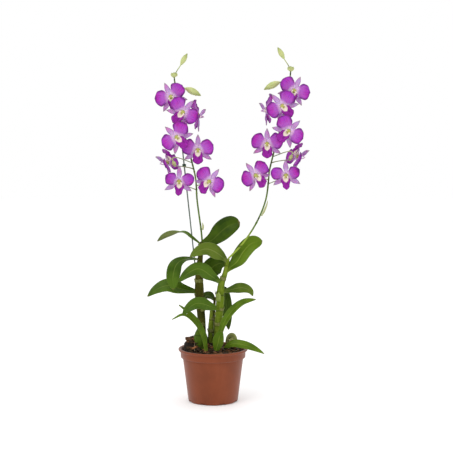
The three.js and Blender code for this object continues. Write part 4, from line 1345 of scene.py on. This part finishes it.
class ORCHID_OT_blooms(bpy.types.Operator):
    """Opens the sixteen blooms: sepals, petals, lip, column, spur and stalk"""

    bl_idname = "orchid.blooms"
    bl_label = "Blooms"

    def execute(self, context):
        settings = context.scene.orchid_flower
        looks = flower_looks(settings)
        for spray in sprays():
            for number, plan in enumerate(BLOOMS):
                self.bloom(spray, number, plan, looks, settings.petal_thickness)
        return {"FINISHED"}

    def bloom(self, spray, number, plan, looks, thickness):
        node, at, height, looks_at, roll, differs = plan
        look_way = spray.way(*looks_at)
        lean = radians(spray.side * roll)
        across = Vector((-sin(lean), 0, cos(lean))).cross(look_way).normalized()
        world = Matrix((across, look_way.cross(across), look_way)).transposed().to_4x4()
        world.translation = spray.place(at)
        seed = number * 1.9 + (0 if spray.side > 0 else 0.8)
        label = f"bloom_{spray.name}_{number + 1}"
        flower = joined(label, self.parts(label, seed, differs, looks, thickness))
        scale = Matrix.Diagonal((MM, MM, MM, 1))
        flower.data.transform(scale @ world @ scale.inverted())

        back = world @ Vector((0, -0.06 * 36, 1.5 - SPUR))
        stalk = spray.stalk(
            f"{label}_stalk", height, back, back, look_way, 0.4, 20,
            lambda t: PEDICEL * (0.9 + 0.25 * smooth(t * 3 - 2) + 0.3 * smooth(1 - 8 * t)),
            looks["stalk"],
        )
        finished(joined(label, [flower, stalk]), "bloom", f"{spray.name}_{node}")

    def parts(self, label, seed, differs, looks, thickness):
        """The parts of one bloom, which looks along +Z with its top sepal up +Y."""

        def sheet(kind, k, azimuth, out, rise, droop, length, width, *shape):
            turn, base = radians(azimuth), COLUMN_RADIUS - 1.2
            foot = (base * cos(turn), base * sin(turn), out)
            spine = (foot, azimuth, rise, droop, length)
            name = f"{label}_{kind}_{k}"
            return flower_sheet(name, spine, width, kind, looks[kind], thickness, *shape)

        parts = []
        for k, (azimuth, rise, droop) in enumerate(((90, 6, 14), (213, 4, 18), (327, 4, 18))):
            droop += 3 * sin(seed + k)
            shape = 0.1, -1.3, 0.5, seed + k, 10, 18
            parts.append(sheet("sepal", k, azimuth, 0, rise, droop, 26, 9.0, *shape))
        rise, width = differs.get("rise", 24), 28 * differs.get("wide", 1)
        for k, azimuth in enumerate((21, 159)):
            droop = 34 + 5 * sin(seed * 2 + k)
            shape = 0.2, -2.2, differs.get("wave", 1.5), seed + 3 * k
            parts.append(sheet("petal", k, azimuth, 1, rise, droop, 27, width, *shape))
        parts.append(
            lip_sheet(f"{label}_lip", looks["lip"], thickness, differs.get("lip", 1.0), seed)
        )
        line = [Vector((0, 0.2 * k * k * 0.1, -1.5 + k * 0.8)) for k in range(10)]
        swell = [(0, 3.4), (0.5, 3.1), (0.7, 4.0), (0.88, 3.4), (1, 1.2)]
        parts.append(
            tube(f"{label}_column", line, lambda t: through(t, swell), 14, looks["column"])
        )
        line = [Vector((0, -0.06 * k * k, 0.4 - k)) for k in range(8)]
        parts.append(
            tube(f"{label}_spur", line, lambda t: lerp(2.4, 1.0, smooth(t)), 12, looks["sepal"])
        )
        return parts


def bud_tube(label, foot, way, length, radius, look, bend=0.12):
    """A closed bud: fat at its middle, with the seams of its sepals pressed in."""
    steps = 24
    line = []
    for k in range(steps + 1):
        t = k / steps
        line.append(foot + way * (length * t) - Vector((0, 0, bend * length * (t * t - t))))
    bud = tube(label, line, lambda t: radius * through(t, BUD_PROFILE), 24, look)
    axis, front = way.normalized(), Vector((0, 1, 0.1))
    for vertex in bud.data.vertices:
        p = vertex.co / MM
        along = (p - foot).dot(axis)
        off = p - line[min(steps, max(0, round(steps * along / length)))]
        off -= axis * off.dot(axis)
        if off.length > 0.4:
            turn = atan2(off.dot(axis.cross(front)), off.dot(front))
            p -= off * (0.09 * max(0.0, cos(3 * turn)) ** 6)
        vertex.co = p * MM
    return bud


class ORCHID_OT_buds(bpy.types.Operator):
    """Hangs the side buds and sets the knot of tip buds on each stem"""

    bl_idname = "orchid.buds"
    bl_label = "Buds"

    def execute(self, context):
        body = (0.50, 0.55, 0.22), (0.27, 0.31, 0.09), (0.30, 0.34, 0.10)
        foot = (0.16, 0.2, 0.07), (0.42, 0.48, 0.2), (0.2, 0.24, 0.08)
        green = finish_of("bud", waxy_finish, *body, 0.45, 1.05)
        stalk_look = finish_of("bud_stalk", waxy_finish, *foot)
        for spray in sprays():
            for plan in BUDS:
                self.side_bud(spray, plan, green, stalk_look)
            self.tip_buds(spray, green, stalk_look)
        return {"FINISHED"}

    def side_bud(self, spray, plan, green, stalk_look):
        node, at, to, size, height = plan
        label = f"{node}_{spray.name}"
        foot, way = spray.place(at), spray.way(*to)
        fat = BUD_RADIUS * sqrt(size)
        bud = bud_tube(f"{label}_body", foot, way, BUD_LENGTH * size, fat, green)
        stalk = spray.stalk(
            f"{label}_stalk", height, foot, foot + way, way, 0.45, 18,
            lambda t: PEDICEL * (0.85 + 0.4 * smooth(t * 3 - 2)), stalk_look,
        )
        finished(joined(label, [bud, stalk]), "bud", f"{spray.name}_{node}")

    def tip_buds(self, spray, green, stalk_look):
        side, label = spray.side, f"tip_{spray.name}"
        tip = spray.line[-1] + Vector((0, 0, GAP))
        knot = []
        for k, (x, y, z) in enumerate(TIP_BUDS):
            foot = tip + Vector((side * x / 2, y / 2, z - 4))
            way = spray.way(x * 0.16, y * 0.16, 1)
            size = BUD_LENGTH * 0.25, BUD_RADIUS * 0.5
            knot.append(bud_tube(f"{label}_{k}", foot, way, *size, green))
        lean = Vector((side * 0.5, 0, 0.87))
        foot = tip + lean * (BUD_LENGTH * 0.72)
        size = BUD_LENGTH * 0.76, BUD_RADIUS * 0.76
        knot.append(bud_tube(f"{label}_long", foot, lean, *size, green, bend=0.05))
        line = bezier_points(tip, tip + Vector((0, 0, 4)), foot - lean * 4, foot + lean, 14)
        knot.append(tube(f"{label}_link", line, lambda t: PEDICEL * 0.9, 10, stalk_look))
        finished(joined(f"tip_buds_{spray.name}", knot), "bud", f"{spray.name}_tip_buds")


# ---- support
class ORCHID_OT_support(bpy.types.Operator):
    """Makes the thin stake and finishes the two clips that hold the left stem to it"""

    bl_idname = "orchid.support"
    bl_label = "Stake and clips"

    def execute(self, context):
        rod = finish_of("stake_rod", rod_finish, (0.105, 0.145, 0.115), (0.06, 0.085, 0.065))
        low, high = (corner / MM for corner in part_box("stake"))
        radius, steps = 1.2, 60
        centre, _ = sprays()[0].on_stem(6.6)
        foot = Vector((-10, 24, low.z + 0.05))
        top = Vector((centre.x, low.y + radius, high.z - 0.05))
        line = [foot.lerp(top, k / steps) for k in range(steps + 1)]

        def thickness(t):
            return radius * (0.97 + 0.03 * sin(t * 90)) * smooth((1 - t) * 140 + 0.45)

        finished(tube("support_stake", line, thickness, 16, rod), "stake", "stake")
        grip = finish_of("clip_plastic", rod_finish, (0.022, 0.062, 0.026), (0.012, 0.036, 0.016))
        for node in ("clip_top", "clip_low"):
            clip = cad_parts[node]
            clip.data.materials.clear()
            clip.data.materials.append(grip)
        return {"FINISHED"}


# ---- stage
CAMERA_AT = (0.0237, -2.0, 0.475)
CAMERA_DIP = 4.76  # degrees below level
CAMERA_LENS, CAMERA_SENSOR = 91.15, 36
LIGHTS_AIM = Vector((0.02, 0, 0.3))
LIGHTS = {  # place, size, watts
    "key": ((-0.9, -1.3, 2.1), 1.2, 13),
    "fill": ((1.7, -1.4, 1.1), 1.4, 3),
    "back": ((0.2, 1.6, 1.5), 1.2, 5),
}
WORLD_STRENGTH = 1.0
FLOOR = {  # a pale floor that glows a little, so that it stays near white
    "Base Color": (0.9, 0.9, 0.9, 1), "Roughness": 0.9,
    "Emission Color": (1, 1, 1, 1), "Emission Strength": 0.12,
}


class ORCHID_OT_stage(bpy.types.Operator):
    """Sets the pale floor, the soft lights and the camera"""

    bl_idname = "orchid.stage"
    bl_label = "Stage"

    def execute(self, context):
        deselect()
        bpy.ops.mesh.primitive_plane_add(size=12, location=(0, 0, -0.0002))
        floor = bpy.context.object
        floor.name = "stage_floor"
        pale = bpy.data.materials.new("stage_pale")
        pale.use_nodes = True
        for key, value in FLOOR.items():
            pale.node_tree.nodes["Principled BSDF"].inputs[key].default_value = value
        floor.data.materials.append(pale)

        world = context.scene.world = bpy.data.worlds.new("studio")
        world.use_nodes = True
        sky = world.node_tree.nodes["Background"].inputs
        sky["Color"].default_value = (1, 1, 1, 1)
        sky["Strength"].default_value = WORLD_STRENGTH

        for name, (place, size, watts) in LIGHTS.items():
            light = bpy.data.lights.new(name, "AREA")
            light.size, light.energy = size, watts
            lamp = placed(name, light)
            lamp.location = place
            lamp.rotation_mode = "QUATERNION"
            lamp.rotation_quaternion = (LIGHTS_AIM - Vector(place)).to_track_quat("-Z", "Y")

        lens = bpy.data.cameras.new("camera")
        lens.lens, lens.sensor_width = CAMERA_LENS, CAMERA_SENSOR
        camera = context.scene.camera = placed("camera", lens)
        camera.location = CAMERA_AT
        camera.rotation_euler = (radians(90 - CAMERA_DIP), 0, 0)
        context.scene.view_settings.view_transform = "Standard"
        return {"FINISHED"}


# ---- panel and registration
PIECES = (
    ORCHID_OT_pot, ORCHID_OT_bark, ORCHID_OT_canes, ORCHID_OT_leaves, ORCHID_OT_shoots,
    ORCHID_OT_stems, ORCHID_OT_blooms, ORCHID_OT_buds, ORCHID_OT_support, ORCHID_OT_stage,
)
SETTINGS = {
    "orchid_pot": OrchidPotSettings,
    "orchid_plant": OrchidPlantSettings,
    "orchid_flower": OrchidFlowerSettings,
}


class ORCHID_PT_panel(bpy.types.Panel):
    """Sizes, colours and pieces of the potted orchid"""

    bl_idname = "ORCHID_PT_panel"
    bl_label = "Potted orchid"
    bl_space_type = "VIEW_3D"
    bl_region_type = "UI"
    bl_category = "Orchid"

    def draw(self, context):
        for key, group in SETTINGS.items():
            box = self.layout.box()
            for name in group.__annotations__:
                box.prop(getattr(context.scene, key), name)
        for operator in PIECES:
            self.layout.operator(operator.bl_idname)


def register():
    for group in SETTINGS.values():
        bpy.utils.register_class(group)
    for key, group in SETTINGS.items():
        setattr(bpy.types.Scene, key, PointerProperty(type=group))
    for operator in PIECES:
        bpy.utils.register_class(operator)
    bpy.utils.register_class(ORCHID_PT_panel)


def unregister():
    bpy.utils.unregister_class(ORCHID_PT_panel)
    for operator in reversed(PIECES):
        bpy.utils.unregister_class(operator)
    for key, group in SETTINGS.items():
        delattr(bpy.types.Scene, key)
        bpy.utils.unregister_class(group)


def main():
    register()
    bpy.ops.orchid.pot()
    bpy.ops.orchid.bark()
    bpy.ops.orchid.canes()
    bpy.ops.orchid.leaves()
    bpy.ops.orchid.shoots()
    bpy.ops.orchid.stems()
    bpy.ops.orchid.blooms()
    bpy.ops.orchid.buds()
    bpy.ops.orchid.support()
    bpy.ops.orchid.stage()


if __name__ == "__main__":
    main()
